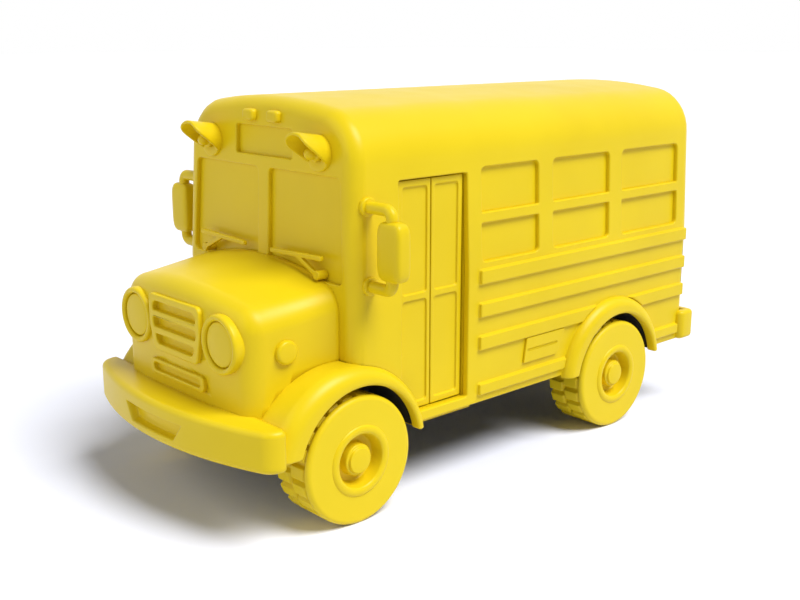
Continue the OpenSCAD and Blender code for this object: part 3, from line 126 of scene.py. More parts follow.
# %% Moulded ABS
def moulded_abs(name, light, dark, gloss):
    """ABS from a polished mould: satin, with a soft drift in colour and gloss and a fine orange peel."""
    material, tree, shader = new_material(name)
    place = add(tree, "ShaderNodeTexCoord").outputs["Object"]
    drift = add(tree, "ShaderNodeTexNoise", {"Vector": place}, Scale=1 / (45 * MM), Detail=3.0)
    tint = add(tree, "ShaderNodeValToRGB", {"Fac": drift.outputs["Fac"]},
               [(0.3, linear(dark)), (0.7, linear(light))])
    tree.links.new(tint.outputs["Color"], shader.inputs["Base Color"])
    polish = add(tree, "ShaderNodeTexNoise", {"Vector": place}, Scale=1 / (14 * MM), Detail=4.0)
    rough = add(tree, "ShaderNodeValToRGB", {"Fac": polish.outputs["Fac"]},
                [(0.3, grey(gloss - 0.03)), (0.7, grey(gloss + 0.04))])
    tree.links.new(rough.outputs["Color"], shader.inputs["Roughness"])
    peel = add(tree, "ShaderNodeTexNoise", {"Vector": place}, Scale=1 / (0.9 * MM), Detail=2.0)
    bump = add(tree, "ShaderNodeBump", {"Height": peel.outputs["Fac"]}, Strength=0.05, Distance=0.08 * MM)
    tree.links.new(bump.outputs["Normal"], shader.inputs["Normal"])
    shader.inputs["IOR"].default_value = 1.5
    shader.inputs["Specular IOR Level"].default_value = 0.22
    return material


body_abs = moulded_abs("moulded_yellow_abs", "e6cb16", "dfc310", 0.36)
tyre_abs = moulded_abs("moulded_yellow_tyre_abs", "e8ce1c", "e2c716", 0.4)
# The chassis is coloured near black. This is partly a guessed black moulding and partly painted shade, which darkens
# the underside of the bus and its wheel wells.
chassis_abs_black_and_painted_shade = moulded_abs("black_abs_and_painted_underbody_shade", "1e1e1f", "19191a", 0.5)
print("plastics:", body_abs.name, tyre_abs.name, chassis_abs_black_and_painted_shade.name)

# %% [markdown]
# Drawn steel wire has fine lines along its length, so the noise is stretched along the axle. The real lines are too
# fine to show, so they are drawn about a quarter of a millimetre apart.

# %% Drawn steel
def drawn_steel(name, color, stretch):
    material, tree, shader = new_material(name)
    place = add(tree, "ShaderNodeTexCoord").outputs["Object"]
    squeeze = add(tree, "ShaderNodeMapping", {"Vector": place}, Scale=stretch)
    lines = add(tree, "ShaderNodeTexNoise", {"Vector": squeeze.outputs["Vector"]}, Scale=1 / (0.25 * MM))
    rough = add(tree, "ShaderNodeValToRGB", {"Fac": lines.outputs["Fac"]}, [(0.3, grey(0.22)), (0.7, grey(0.4))])
    tree.links.new(rough.outputs["Color"], shader.inputs["Roughness"])
    bump = add(tree, "ShaderNodeBump", {"Height": lines.outputs["Fac"]}, Strength=0.1, Distance=0.02 * MM)
    tree.links.new(bump.outputs["Normal"], shader.inputs["Normal"])
    shader.inputs["Base Color"].default_value = linear(color)
    shader.inputs["Metallic"].default_value = 1.0
    return material


MATERIALS = {"body_plastic": body_abs, "tyre_plastic": tyre_abs, "chassis_plastic": chassis_abs_black_and_painted_shade,
             "axle_steel": drawn_steel("drawn_axle_steel", "b9bcc0", (0.03, 1.0, 1.0)),
             "screw_steel": drawn_steel("zinc_plated_steel", "a9acb0", (1.0, 1.0, 0.2))}
for part in frame["record"]["subparts"]:
    node = nodes[part["node"]]
    node.data.materials.clear()
    node.data.materials.append(MATERIALS[part["material_slot"]])
print("materials on", len(nodes), "nodes")

# %% [markdown]
# ## Soft moulded edges
# A mould can't make a sharp edge. The edges could be rounded in the CAD, but every small radius makes the solids
# heavier, so the CAD pieces that stay get a small bevel here. The triangles of each flat face are joined first, so
# that the bevel meets only real edges, and the shading is weighted towards the large faces.

# %% Bevel the CAD pieces
def soften(node, width, clamp=False):
    for polygon in node.data.polygons:
        polygon.use_smooth = True
    weld = node.modifiers.new("weld", "WELD")
    weld.merge_threshold = 0.002 * MM
    flat = node.modifiers.new("flat_faces", "DECIMATE")
    flat.decimate_type = "DISSOLVE"
    flat.angle_limit = math.radians(0.6)
    bevel = node.modifiers.new("soft_edges", "BEVEL")
    bevel.width = width * MM
    bevel.segments = 3
    bevel.limit_method = "ANGLE"
    bevel.angle_limit = math.radians(32)
    bevel.use_clamp_overlap = clamp
    bevel.miter_outer = "MITER_ARC"
    node.modifiers.new("face_shading", "WEIGHTED_NORMAL")


EDGE = 0.35
EDGES = {"body_shell": 0.5, "front_grille": 0.5, "lower_intake": 0.45, "tail_lamps": 0.6, "hatch_panel": 0.3,
         "wiper": 0.3, "door_leaf": 0.3}
INSIDE = ("chassis", "axle_clip", "door_frame", "front_axle", "rear_axle", "door_hinge_pin")
for name, node in nodes.items():
    width = next((w for start, w in EDGES.items() if name.startswith(start)), EDGE)
    soften(node, width, clamp=name.startswith(INSIDE))
print("softened", len(nodes))

# %% [markdown]
# ## Mesh helpers
# The finer pieces are drawn in millimetres. A lathe turns a profile about an axis, a loft skins a row of rings, and
# a slab is an outline with its upper and lower edges rounded. Modelling by hand would do too, but a row of numbers
# can be measured and changed. Each new piece says which CAD nodes it stands for.

# %% Rows of points
def arc(cx, cy, r, start, end, steps):
    angles = [math.radians(start + (end - start) * k / steps) for k in range(steps + 1)]
    return [(cx + r * math.cos(a), cy + r * math.sin(a)) for a in angles]


def spread(start, end, steps):
    return [start + (end - start) * k / steps for k in range(steps + 1)]


print("quarter arc:", len(arc(0, 0, 1, 0, 90, 6)), "points")

# %% New pieces
def mesh_piece(name, parts, slot="body_plastic"):
    """One object from (points, faces) parts in millimetres."""
    bm = bmesh.new()
    for points, faces in parts:
        verts = [bm.verts.new(Vector(p) * MM) for p in points]
        for face in faces:
            bm.faces.new([verts[k] for k in face])
    bmesh.ops.remove_doubles(bm, verts=bm.verts, dist=0.0005 * MM)
    bmesh.ops.recalc_face_normals(bm, faces=bm.faces)
    mesh = bpy.data.meshes.new(name)
    bm.to_mesh(mesh)
    bm.free()
    for polygon in mesh.polygons:
        polygon.use_smooth = True
    mesh.materials.append(MATERIALS[slot])
    piece = bpy.data.objects.new(name, mesh)
    scene.collection.objects.link(piece)
    return piece


def hand_over(piece, body, *replaced, slot="body_plastic"):
    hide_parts(*replaced)
    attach(piece, body)
    print(piece.name, len(piece.data.vertices), "points for", ", ".join(replaced))


def box_mm(name):
    low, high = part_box(name)
    return [v / MM for v in low], [v / MM for v in high]


print("body shell in mm:", *[[round(v, 1) for v in corner] for corner in box_mm("body_shell")])

# %% Lofts and lathes
def loft(rings, turn=False):
    """Skin through rings with equal point counts; turn joins the last ring to the first."""
    n = len(rings[0])
    points = [p for ring in rings for p in ring]
    faces = []
    for j in range(len(rings) if turn else len(rings) - 1):
        a, b = j * n, (j + 1) % len(rings) * n
        faces += [(a + i, a + (i + 1) % n, b + (i + 1) % n, b + i) for i in range(n)]
    if not turn:
        faces += [tuple(range(n - 1, -1, -1)), tuple(range(len(points) - n, len(points)))]
    return points, faces


def lathe(profile, place, axis, side=1, steps=96):
    """Turns (radius, distance along the axis) pairs about X or Y; side mirrors the distance along X."""
    rings = []
    for k in range(steps):
        c, s = math.cos(2 * math.pi * k / steps), math.sin(2 * math.pi * k / steps)
        if axis == "x":
            ring = [(side * (place[0] + h), place[1] + r * c, place[2] + r * s) for r, h in profile]
        else:
            ring = [(place[0] + r * c, place[1] + h, place[2] + r * s) for r, h in profile]
        rings.append(ring)
    n = len(profile)
    points = [p for ring in rings for p in ring]
    faces = []
    for k in range(steps):
        a, b = k * n, (k + 1) % steps * n
        faces += [(a + i, b + i, b + i + 1, a + i + 1) for i in range(n - 1)]
    return points, faces


print("turned disc:", len(lathe([(0, 0), (1, 0)], (0, 0, 0), "x", steps=24)[1]), "faces")

# %% [markdown]
# Some pieces need a flat outline with round edges, and some have pockets. A bevel could round the outline, but its
# width is limited by short edges, so the slab moves its outline inwards level by level. Pockets are cut by an exact
# Boolean, which is applied at once, so the finished mesh has no hidden cutter.

# %% Slabs and cutters
def inset(outline, d):
    """Outline moved inwards by d, for a smooth outline that runs anticlockwise."""
    n = len(outline)
    moved = []
    for k, (x, y) in enumerate(outline):
        tx, ty = outline[(k + 1) % n][0] - outline[k - 1][0], outline[(k + 1) % n][1] - outline[k - 1][1]
        length = math.hypot(tx, ty)
        moved.append((x - ty / length * d, y + tx / length * d))
    return moved


def slab(outline, z0, z1, r, steps=5):
    """Upright slab with rounded upper and lower edges."""
    turns = spread(0, 90, steps)
    levels = [(r * (1 - math.sin(math.radians(a))), z0 + r * (1 - math.cos(math.radians(a)))) for a in turns]
    levels += [(d, z0 + z1 - z) for d, z in reversed(levels)]
    return loft([[(x, y, z) for x, y in inset(outline, d)] for d, z in levels])


def rounded_rect(x0, y0, x1, y1, r, steps=6):
    return (arc(x1 - r, y0 + r, r, -90, 0, steps) + arc(x1 - r, y1 - r, r, 0, 90, steps)
            + arc(x0 + r, y1 - r, r, 90, 180, steps) + arc(x0 + r, y0 + r, r, 180, 270, steps))


def prism(outline, axis, start, end):
    """Outline extruded along x (outline in y and z), y (x and z) or z (x and y)."""
    place = {"x": lambda u, v, w: (w, u, v), "y": lambda u, v, w: (u, w, v), "z": lambda u, v, w: (u, v, w)}[axis]
    return loft([[place(u, v, w) for u, v in outline] for w in (start, end)])


def carve(piece, parts):
    """Cuts closed solids out of a piece for good."""
    cutter = mesh_piece("cutter", parts)
    cut = piece.modifiers.new("cut", "BOOLEAN")
    cut.operation = "DIFFERENCE"
    cut.solver = "EXACT"
    cut.object = cutter
    result = bpy.data.meshes.new_from_object(piece.evaluated_get(bpy.context.evaluated_depsgraph_get()))
    piece.modifiers.clear()
    result.name = piece.name
    piece.data = result
    bpy.data.objects.remove(cutter)


def round_edges(piece, width, angle=50, segments=3):
    bevel = piece.modifiers.new("soft_edges", "BEVEL")
    bevel.width = width * MM
    bevel.segments = segments
    bevel.limit_method = "ANGLE"
    bevel.angle_limit = math.radians(angle)
    bevel.use_clamp_overlap = False
    piece.modifiers.new("face_shading", "WEIGHTED_NORMAL")


print("rounded square:", len(rounded_rect(0, 0, 4, 4, 1)), "points")

# %% [markdown]
# ## Pressed-in panes
# The CAD leaves a running gap round each pane, so that the pieces can be put together. On the toy the panes are
# pressed in tight and only a fine crease is left. A copy of each pane grows sideways until it meets its frame. Its
# face stays at the same depth, and the copy stands for the CAD pane.

# %% Pressed-in panes
PANE_GROWTH = 0.3
PANE_EDGE = 0.2
PANES = {"windscreen_left": 1, "windscreen_right": 1, "destination_panel": 1, "side_windows_left": 0,
         "side_windows_right": 0, "rear_window": 1, "emergency_door": 1}


def pressed_in(name, depth_axis):
    """Copy of a pane whose rim moves outwards, square to the axis that points through the wall."""
    bm = bmesh.new()
    bm.from_mesh(nodes[name].data)
    bmesh.ops.remove_doubles(bm, verts=bm.verts, dist=0.002 * MM)
    bm.normal_update()
    moves = []
    for vert in bm.verts:
        out = vert.normal.copy()
        out[depth_axis] = 0
        moves.append(out.normalized() * PANE_GROWTH * MM if out.length > 0.2 else Vector())
    for vert, move in zip(bm.verts, moves):
        vert.co += move
    mesh = bpy.data.meshes.new(name + "_pressed_in")
    bm.to_mesh(mesh)
    bm.free()
    mesh.materials.append(MATERIALS["body_plastic"])
    piece = bpy.data.objects.new(name + "_pressed_in", mesh)
    scene.collection.objects.link(piece)
    soften(piece, PANE_EDGE)
    hand_over(piece, "bus", name)


for name, depth_axis in PANES.items():
    pressed_in(name, depth_axis)

# %% [markdown]
# ## Wheels
# The tyre is moulded like the rest of the toy: a smooth sidewall, a plain outer band, and two staggered rows of
# soft tread blocks. Blocks could be joined on one by one, but a mould rounds every edge, so the tread is a turned
# surface whose radius rises and falls with a smooth mask.

# %% Tyres
BEAD_R = 10.5
TREAD_H = 1.6
BAND_W = 1.9
ROW_GAP = 0.6
BLOCKS = 22
BLOCK_GAP = 1.6
TYRE_EDGE_R = 1.4
BLOCK_SOFT = 0.45


def plateau(distance, half):
    """1 inside the half width, 0 outside, with a smooth flank."""
    t = min(1, max(0, (half - abs(distance)) / BLOCK_SOFT + 0.5))
    return t * t * (3 - 2 * t)


def tyre(name):
    low, high = box_mm(name)
    side = 1 if high[0] > 0 else -1
    face_x, width = max(abs(low[0]), abs(high[0])), high[0] - low[0]
    radius, y, z = (high[2] - low[2]) / 2, (low[1] + high[1]) / 2, (low[2] + high[2]) / 2
    row_w = (width - BAND_W - 2 * ROW_GAP) / 2
    pitch = 2 * math.pi * radius / BLOCKS
    base = radius - TREAD_H

    def tread(w, turn):
        rise = plateau(w, BAND_W)
        for row in (0, 1):
            middle = BAND_W + ROW_GAP + row_w / 2 + row * (row_w + ROW_GAP)
            along = (turn * BLOCKS - row / 2 + 0.5) % 1 - 0.5
            rise = max(rise, plateau(w - middle, row_w / 2) * plateau(along * pitch, (pitch - BLOCK_GAP) / 2))
        return base + TREAD_H * rise

    shoulder = arc(radius - TYRE_EDGE_R, -TYRE_EDGE_R, TYRE_EDGE_R, 90, 0, 6)
    lanes = spread(TYRE_EDGE_R + 0.3, width, 44)
    steps = BLOCKS * 18
    rings = []
    for k in range(steps):
        profile = [(BEAD_R, -width), (BEAD_R, -0.3), (BEAD_R + 0.3, 0), (BEAD_R + 0.8, 0), (radius - 4, 0)]
        profile += [(radius - TYRE_EDGE_R - 0.5, 0)] + shoulder
        profile += [(tread(w, k / steps), -w) for w in lanes]
        a = 2 * math.pi * k / steps
        rings.append([(side * (face_x + h), y + r * math.cos(a), z + r * math.sin(a)) for r, h in profile])
    piece = mesh_piece(name + "_moulded", [loft(rings, turn=True)], "tyre_plastic")
    hand_over(piece, "front_wheelset" if "front" in name else "rear_wheelset", name, slot="tyre_plastic")


for end in ("front", "rear"):
    for side in ("left", "right"):
        tyre(f"tyre_{end}_{side}")

# %% [markdown]
# The rim has a rolled bead over the tyre, a deep dish, a hub that stands up in it and a stepped cap. Discs and
# rings could be stacked, but a mould leaves fillets between them, so one profile with all its fillets is turned.

# %% Rims
RIM = {"bead": 11.2, "proud": 0.6, "dish": 8.3, "floor": -4.2, "hub": 4.9, "hub_top": -1.0, "cap": 4.0,
       "cap_top": -0.1, "bore": 2.02, "bore_end": -2.0, "inner": -14.7}


def rim(end, side):
    low, high = box_mm(f"tyre_{end}_{side}")
    face_x = max(abs(low[0]), abs(high[0]))
    place = (face_x, (low[1] + high[1]) / 2, (low[2] + high[2]) / 2)
    g = RIM
    bead_r = (g["bead"] - g["dish"]) / 2
    profile = [(0, g["bore_end"]), (g["bore"], g["bore_end"]), (g["bore"], g["inner"]), (BEAD_R, g["inner"]),
               (BEAD_R, -0.4)]
    profile += [(g["bead"] - bead_r + x * bead_r, g["proud"] - 0.9 + y * 0.9) for x, y in arc(0, 0, 1, 0, 180, 14)]
    profile += [(g["dish"] - 0.4, -2.6)] + arc(g["dish"] - 1.6, g["floor"] + 1.0, 1.0, 0, -90, 6)
    profile += arc(g["hub"] + 0.7, g["floor"] + 0.7, 0.7, -90, -180, 5)
    profile += arc(g["hub"] - 0.5, g["hub_top"] - 0.5, 0.5, 0, 90, 5)
    profile += [(g["cap"] + 0.1, g["hub_top"])] + arc(g["cap"] - 0.4, g["cap_top"] - 0.4, 0.4, 0, 90, 5)
    profile += [(0, g["cap_top"])]
    piece = mesh_piece(f"rim_{end}_{side}_turned", [lathe(profile, place, "x", 1 if side == "left" else -1)])
    hand_over(piece, f"{end}_wheelset", f"rim_{end}_{side}", f"hub_cap_{end}_{side}")


for end in ("front", "rear"):
    for side in ("left", "right"):
        rim(end, side)

# %% [markdown]
# ## Hood
# The hood narrows and drops towards the front, with round shoulders and a slightly bowed face. A bevelled box would
# show flat sides, so it is one smooth loft through arched rings and the light runs over it without facets. The
# wheel arches and the pockets behind the grille and the intake are carved out.

# %% Hood
CAB_Y = -66.2
HOOD_Y = -98.3
HOOD = {"rear_w": 76, "front_w": 71, "rear_z": 76, "front_z": 72.5, "foot_z": 27.7, "shoulder": 8.5, "crown": 120,
        "edge": 6, "bow": 300}
AXLE_FRONT = (-66, 20)
AXLE_REAR = (58.7, 20)
FENDER_FRONT = (-68.6, 20)
FENDER_X = 31.2
ARCH = {"r": 28.9, "front_y": -94.0, "well_r": 25, "well_x": 27.4, "far_x": 60}
POCKET_BORDERS = {"front_grille": 1.3, "lower_intake": 0.9}


def hood_ring(t, inward, y):
    """Arched ring at t = 0 by the windscreen to 1 at the front."""
    half = (HOOD["rear_w"] + (HOOD["front_w"] - HOOD["rear_w"]) * t) / 2
    top = HOOD["rear_z"] + (HOOD["front_z"] - HOOD["rear_z"]) * t
    shoulder, crown = HOOD["shoulder"], HOOD["crown"]
    cx, cz = half - shoulder, top - crown
    ez = cz + math.sqrt((crown - shoulder) ** 2 - cx ** 2)
    a = math.degrees(math.atan2(ez - cz, cx))
    right = [(half - inward, z) for z in spread(HOOD["foot_z"], ez, 8)][:-1]
    right += arc(cx, ez, shoulder - inward, 0, a, 12) + arc(0, cz, crown - inward, a, 90, 12)[1:]
    ring = right + [(-x, z) for x, z in reversed(right[:-1])]
    return [(x, y + max(0, t) * x * x / (2 * HOOD["bow"]), z) for x, z in ring]


def hood():
    edge, foot = HOOD["edge"], HOOD["foot_z"]
    nose = hood_ring(1, edge, HOOD_Y)
    middle = (foot + HOOD["front_z"]) / 2
    rings = []
    for s in (0.03, 0.2, 0.4, 0.6, 0.8):
        rings.append([(x * s, HOOD_Y + (x * s) ** 2 / (2 * HOOD["bow"]), middle + (z - middle) * s)
                      for x, y, z in nose])
    for k in range(10):
        a = math.radians(90 * k / 9)
        rings.append(hood_ring(1, edge * (1 - math.sin(a)), HOOD_Y + edge * (1 - math.cos(a))))
    start = HOOD_Y + edge
    for t in spread(0.9, -0.03, 12):
        rings.append(hood_ring(t, 0, CAB_Y + (start - CAB_Y) * t))
    piece = mesh_piece("hood_moulded", [loft(rings)])
    lip = [(max(y, ARCH["front_y"]), z) for y, z in arc(*FENDER_FRONT, ARCH["r"], 0, 360, 96)[:-1]]
    well = arc(*AXLE_FRONT, ARCH["well_r"], 0, 360, 96)[:-1]
    for side in (-1, 1):
        carve(piece, [prism(lip, "x", side * FENDER_X, side * ARCH["far_x"])])
        carve(piece, [prism(well, "x", side * ARCH["well_x"], side * ARCH["far_x"])])
    for name, border in POCKET_BORDERS.items():
        low, high = box_mm(name)
        pocket = rounded_rect(low[0] + border, low[2] + border, high[0] - border, high[2] - border, 1.5)
        carve(piece, [prism(pocket, "y", HOOD_Y - 3, high[1])])
    hand_over(piece, "bus", "hood")


hood()

# %% [markdown]
# ## Fenders
# Each fender is a rounded lip that runs over its wheel, like a length of thick tube. A bent tube would be round
# inside too, and the real lip is flat where it faces the tyre. So a loft follows the arch: every section reaches
# from the wheel opening to the fender's outer curve, and both ends are cut level. Where a front fender meets the
# cab, the cab's rounded corner is carved out of it.

# %% Fenders
WELL_R = 23.2
CAB_SIDE = 44.8
CAB_CORNER = 5
FENDER_REAR = (57.1, 21.6)
BELOW_WINDOWS = 60


def fender(name, centre, radius, axle, x0, lip, tips, wall_y=None, front_y=None):
    low, high = box_mm(name)
    side = 1 if high[0] > 0 else -1
    x1 = max(abs(low[0]), abs(high[0]))
    rings = []
    for u in spread(0, 1, 72):
        first = math.asin((tips[1] - centre[1]) / radius)
        last = math.pi - math.asin((tips[0] - centre[1]) / radius)
        a = first + (last - first) * u
        away = (axle[0] - centre[0], axle[1] - centre[1])
        along = away[0] * math.cos(a) + away[1] * math.sin(a)
        across = away[0] * math.sin(a) - away[1] * math.cos(a)
        inner = along + math.sqrt(WELL_R ** 2 - across ** 2)
        outer_r = min(lip, 0.72 * (radius - inner))
        inner_r = min(1.1, 0.2 * (radius - inner))
        section = [(x, inner) for x in spread(x0, x1 - inner_r, 4)]
        section += arc(x1 - inner_r, inner + inner_r, inner_r, -90, 0, 4)[1:]
        section += [(x1 - lip + lip * x, radius - outer_r + outer_r * y) for x, y in arc(0, 0, 1, 0, 90, 12)]
        section += [(x, radius) for x in spread(x1 - lip, x0, 6)][1:]
        ring = []
        for x, r in section:
            start = math.asin((tips[1] - centre[1]) / r)
            stop = math.pi - math.asin((tips[0] - centre[1]) / r)
            b = start + (stop - start) * u
            y, z = centre[0] + r * math.cos(b), centre[1] + r * math.sin(b)
            ring.append((side * x, max(y, front_y) if front_y is not None else y, z))
        rings.append(ring)
    piece = mesh_piece(name + "_moulded", [loft(rings)])
    if wall_y is not None:
        corner = arc(CAB_SIDE - CAB_CORNER, wall_y + CAB_CORNER, CAB_CORNER, 270, 360, 16)
        cab = [(0, wall_y)] + corner + [(CAB_SIDE, 0), (0, 0)]
        carve(piece, [prism([(side * x, y) for x, y in cab], "z", 0, BELOW_WINDOWS)])
    round_edges(piece, 0.6)
    hand_over(piece, "bus", name)


for side in ("left", "right"):
    fender(f"front_fender_{side}", FENDER_FRONT, 29.3, AXLE_FRONT, FENDER_X, 5.0, (26.7, 24.3), CAB_Y + 0.2, -94.4)
    fender(f"rear_fender_{side}", FENDER_REAR, 27.9, AXLE_REAR, CAB_SIDE, 3.6, (24.3, 24.3))

# %% [markdown]
# ## Bumpers
# The front bumper is a bowed bar with soft edges and a sunk panel with sloping ends. The panel could be cut out,
# but then its edges would be sharp. So the bar is a loft of levels on the bumper's plan, and a smooth mask pushes
# the panel in. The rear bumper is a slab that wraps round the tail, with the tail carved out.

# %% Bumpers
PANEL = {"half": 16, "slope": 4.2, "rise": 2.8, "height": 5.9, "depth": 2.6, "soft": 0.9}
TAIL_HALF = 44.6
TAIL_Y = 105


def panel_mask(x, z):
    """1 on the sunk panel, 0 outside it: the least distance to its four edges, softened."""
    lean = math.hypot(PANEL["slope"], PANEL["height"])
    end = (PANEL["half"] - PANEL["slope"] + z * PANEL["slope"] / PANEL["height"] - abs(x)) * PANEL["height"] / lean
    t = min(1, max(0, min(z, PANEL["height"] - z, end) / PANEL["soft"]))
    return t * t * (3 - 2 * t)


def front_bumper():
    low, high = box_mm("front_bumper")
    bow, corner, back, roll = 125, 6, high[1], 1.9
    half, centre_y = high[0], low[1] + bow
    a = math.degrees(math.asin((half - corner) / (bow - corner)))
    cx, cy = (bow - corner) * math.sin(math.radians(a)), centre_y - (bow - corner) * math.cos(math.radians(a))

    def outline(d):
        front = arc(0, centre_y, bow - d, 270 - a, 270 + a, 180)
        right = arc(cx, cy, corner - d, 270 + a, 360, 10)[1:] + [(half - d, back)]
        left = [(d - half, back)] + arc(-cx, cy, corner - d, 180, 270 - a, 10)[:-1]
        return front + right + left

    turns = [math.pi / 12 * k for k in range(6)]
    foot = [(roll * (1 - math.sin(b)), low[2] + roll * (1 - math.cos(b))) for b in turns]
    head = [(d, low[2] + high[2] - z) for d, z in reversed(foot)]
    levels = foot + [(0, z) for z in spread(low[2] + roll, high[2] - roll, 44)] + head
    rings = []
    for d, z in levels:
        ring = []
        for x, y in outline(d):
            sunk = panel_mask(x, z - low[2] - PANEL["rise"]) if y < cy else 0
            ring.append((x, y + PANEL["depth"] * sunk, z))
        rings.append(ring)
    hand_over(mesh_piece("front_bumper_moulded", [loft(rings)]), "bus", "front_bumper")


def rear_bumper():
    low, high = box_mm("rear_bumper")
    outline = rounded_rect(low[0], low[1], high[0], high[1], 2.5)
    piece = mesh_piece("rear_bumper_moulded", [slab(outline, low[2], high[2], 1.6)])
    tail = [(-TAIL_HALF, low[1] - 5), (TAIL_HALF, low[1] - 5), (TAIL_HALF, TAIL_Y), (-TAIL_HALF, TAIL_Y)]
    carve(piece, [prism(tail, "z", 0, BELOW_WINDOWS)])
    hand_over(piece, "bus", "rear_bumper")


front_bumper()
rear_bumper()

# %% [markdown]
# ## Headlights and side lamps
# The headlights are moulded discs in thick round rings, and the side lamps are shallow buttons. Bevelled cylinders
# would have flat faces, and these are slightly domed, so all are turned from profiles.

# %% Headlights and side lamps
def headlight(name):
    low, high = box_mm(f"headlight_bezel_{name}")
    x, z = (low[0] + high[0]) / 2, (low[2] + high[2]) / 2
    r, front, back = (high[2] - low[2]) / 2, low[1], high[1]
    rim_w, roll = 1.9, 0.95
    ring = [(0, back - front), (r, back - front)] + [(r - roll + roll * c, roll - roll * s)
                                                     for c, s in arc(0, 0, 1, 0, 180, 14)]
    ring += [(r - rim_w, 2.6), (0, 2.6)]
    bezel = mesh_piece(f"headlight_ring_{name}", [lathe(ring, (x, front, z), "y")])
    hand_over(bezel, "bus", f"headlight_bezel_{name}")
    lens_r = r - rim_w - 0.3
    dome = [(0, 2.6), (lens_r, 2.6)] + arc(lens_r - 0.5, 1.25, 0.5, 0, -80, 4)
    dome += [(lens_r * k / 8, 0.42 + 0.3 * (k / 8) ** 2) for k in range(7, -1, -1)]
    lens = mesh_piece(f"headlight_disc_{name}", [lathe(dome, (x, front, z), "y")])
    hand_over(lens, "bus", f"headlight_lens_{name}")


def side_lamp(side, name):
    low, high = box_mm(f"side_lamp_{name}")
    y, z, r = (low[1] + high[1]) / 2, (low[2] + high[2]) / 2, (high[2] - low[2]) / 2
    inner, outer = min(abs(low[0]), abs(high[0])), max(abs(low[0]), abs(high[0]))
    height = outer - inner
    button = [(0, 0), (r, 0)] + arc(r - 0.9, height - 1.05, 0.9, 0, 80, 6)
    button += [((r - 0.9) * k / 6, height - 0.15 * (k / 6) ** 2) for k in range(5, -1, -1)]
    piece = mesh_piece(f"side_lamp_{name}_moulded", [lathe(button, (inner, y, z), "x", side, 64)])
    hand_over(piece, "bus", f"side_lamp_{name}")


for side, name in ((1, "left"), (-1, "right")):
    headlight(name)
    side_lamp(side, name)

# %% [markdown]
# ## Warning lamps
# Each warning lamp has a flared visor, cut away below on a slant, over a small bulb. A cut tube would have a sharp
# rim, so the visor is a shell with a round lip, lofted round its axis, and its length follows the slant. It sits on
# the raked wall, so a small function carries points from the lamp's own frame to the bus.

# %% Warning lamps
BELT_Z = 70
RAKE = math.radians(2.3)
LAMP_X = 28.2
LAMP_Z = 109.69
VISOR = {"r": 5.4, "mouth_r": 6.4, "len": 9.6, "wall": 1.0, "drop": 3.2, "slant": 38}


def on_front(x, up, out, cx, cz):
    """Point of the raked front wall: x across, up along the wall and out of it."""
    y, z = -out, up + cz
    return (x + cx, CAB_Y + y * math.cos(RAKE) + z * math.sin(RAKE), BELT_Z - y * math.sin(RAKE) + z * math.cos(RAKE))


def soft_min(a, b, blend):
    """The smaller of two lengths, with a round change from one to the other."""
    h = min(1, max(0, 0.5 + 0.5 * (b - a) / blend))
    return b + (a - b) * h - blend * h * (1 - h)


def visor_section(a, cx, cz):
    flare = (VISOR["mouth_r"] - VISOR["r"]) / VISOR["len"]
    fall = math.tan(math.radians(VISOR["slant"]))
    reach = (VISOR["r"] * math.sin(a) + VISOR["drop"] + fall) / (fall - flare * math.sin(a))
    reach = max(0.9, soft_min(VISOR["len"], reach, 2.4))
    half = VISOR["wall"] / 2
    mid = [(VISOR["r"] - half + flare * h, h) for h in spread(-0.6, reach - half, 9)]
    tip_r, tip_h = mid[-1]
    section = [(r + half, h) for r, h in mid]
    section += [(tip_r + half * c, tip_h + half * s) for c, s in arc(0, 0, 1, 0, 180, 8)]
    section += [(r - half, h) for r, h in reversed(mid)]
    return [on_front(r * math.cos(a), r * math.sin(a), h, cx, cz) for r, h in section]


def turned_on_front(profile, cx, cz, steps=48):
    rings = []
    for k in range(steps):
        a = 2 * math.pi * k / steps
        rings.append([on_front(r * math.cos(a), r * math.sin(a), h, cx, cz) for r, h in profile])
    return loft(rings, turn=True)


def warning_lamp(side, name):
    cx, cz = side * LAMP_X, LAMP_Z - BELT_Z
    shell = loft([visor_section(math.radians(a), cx, cz) for a in spread(-50, 230, 84)])
    plate = turned_on_front([(0.02, -0.6), (5.4, -0.6)] + arc(5.1, 0.6, 0.3, 0, 90, 3) + [(0.02, 0.9)], cx, cz)
    hand_over(mesh_piece(f"warning_visor_{name}", [shell, plate]), "bus", f"warning_lamp_hood_{name}")
    bulb = [(0.02, 0.8), (2.3, 0.8)] + arc(2.0, 2.0, 0.3, 0, 90, 3) + [(1.75, 2.4)]
    bulb += arc(0.02, 3.6, 1.8, 0, 90, 8)
    hand_over(mesh_piece(f"warning_bulb_{name}", [turned_on_front(bulb, cx, cz)]), "bus", f"warning_lamp_bulb_{name}")


warning_lamp(1, "left")
warning_lamp(-1, "right")

# %% [markdown]
# ## Marker lamps and mirror heads
# Both are little pillows: rounded blocks whose faces bulge a bit. A subdivided cube would shrink away from its box,
# so they are superellipsoids, which keep the full size and set the bulge by one power.

# %% Marker lamps and mirror heads
MARKER_X = 6.3
MARKER_UP = 49


def sign_power(value, power):
    return math.copysign(abs(value) ** power, value)


def pillow(half, power, place, across=64, up=32):
    """Puffed block: a rounded box whose faces bulge a little; place carries its points to the bus."""
    rings = []
    for v in spread(-89.9, 89.9, up):
        cv, sv = math.cos(math.radians(v)), math.sin(math.radians(v))
        ring = []
        for k in range(across):
            a = 2 * math.pi * k / across
            ring.append(place(half[0] * sign_power(cv, power) * sign_power(math.cos(a), power),
                              half[1] * sign_power(cv, power) * sign_power(math.sin(a), power),
                              half[2] * sign_power(sv, power)))
        rings.append(ring)
    return loft(rings)


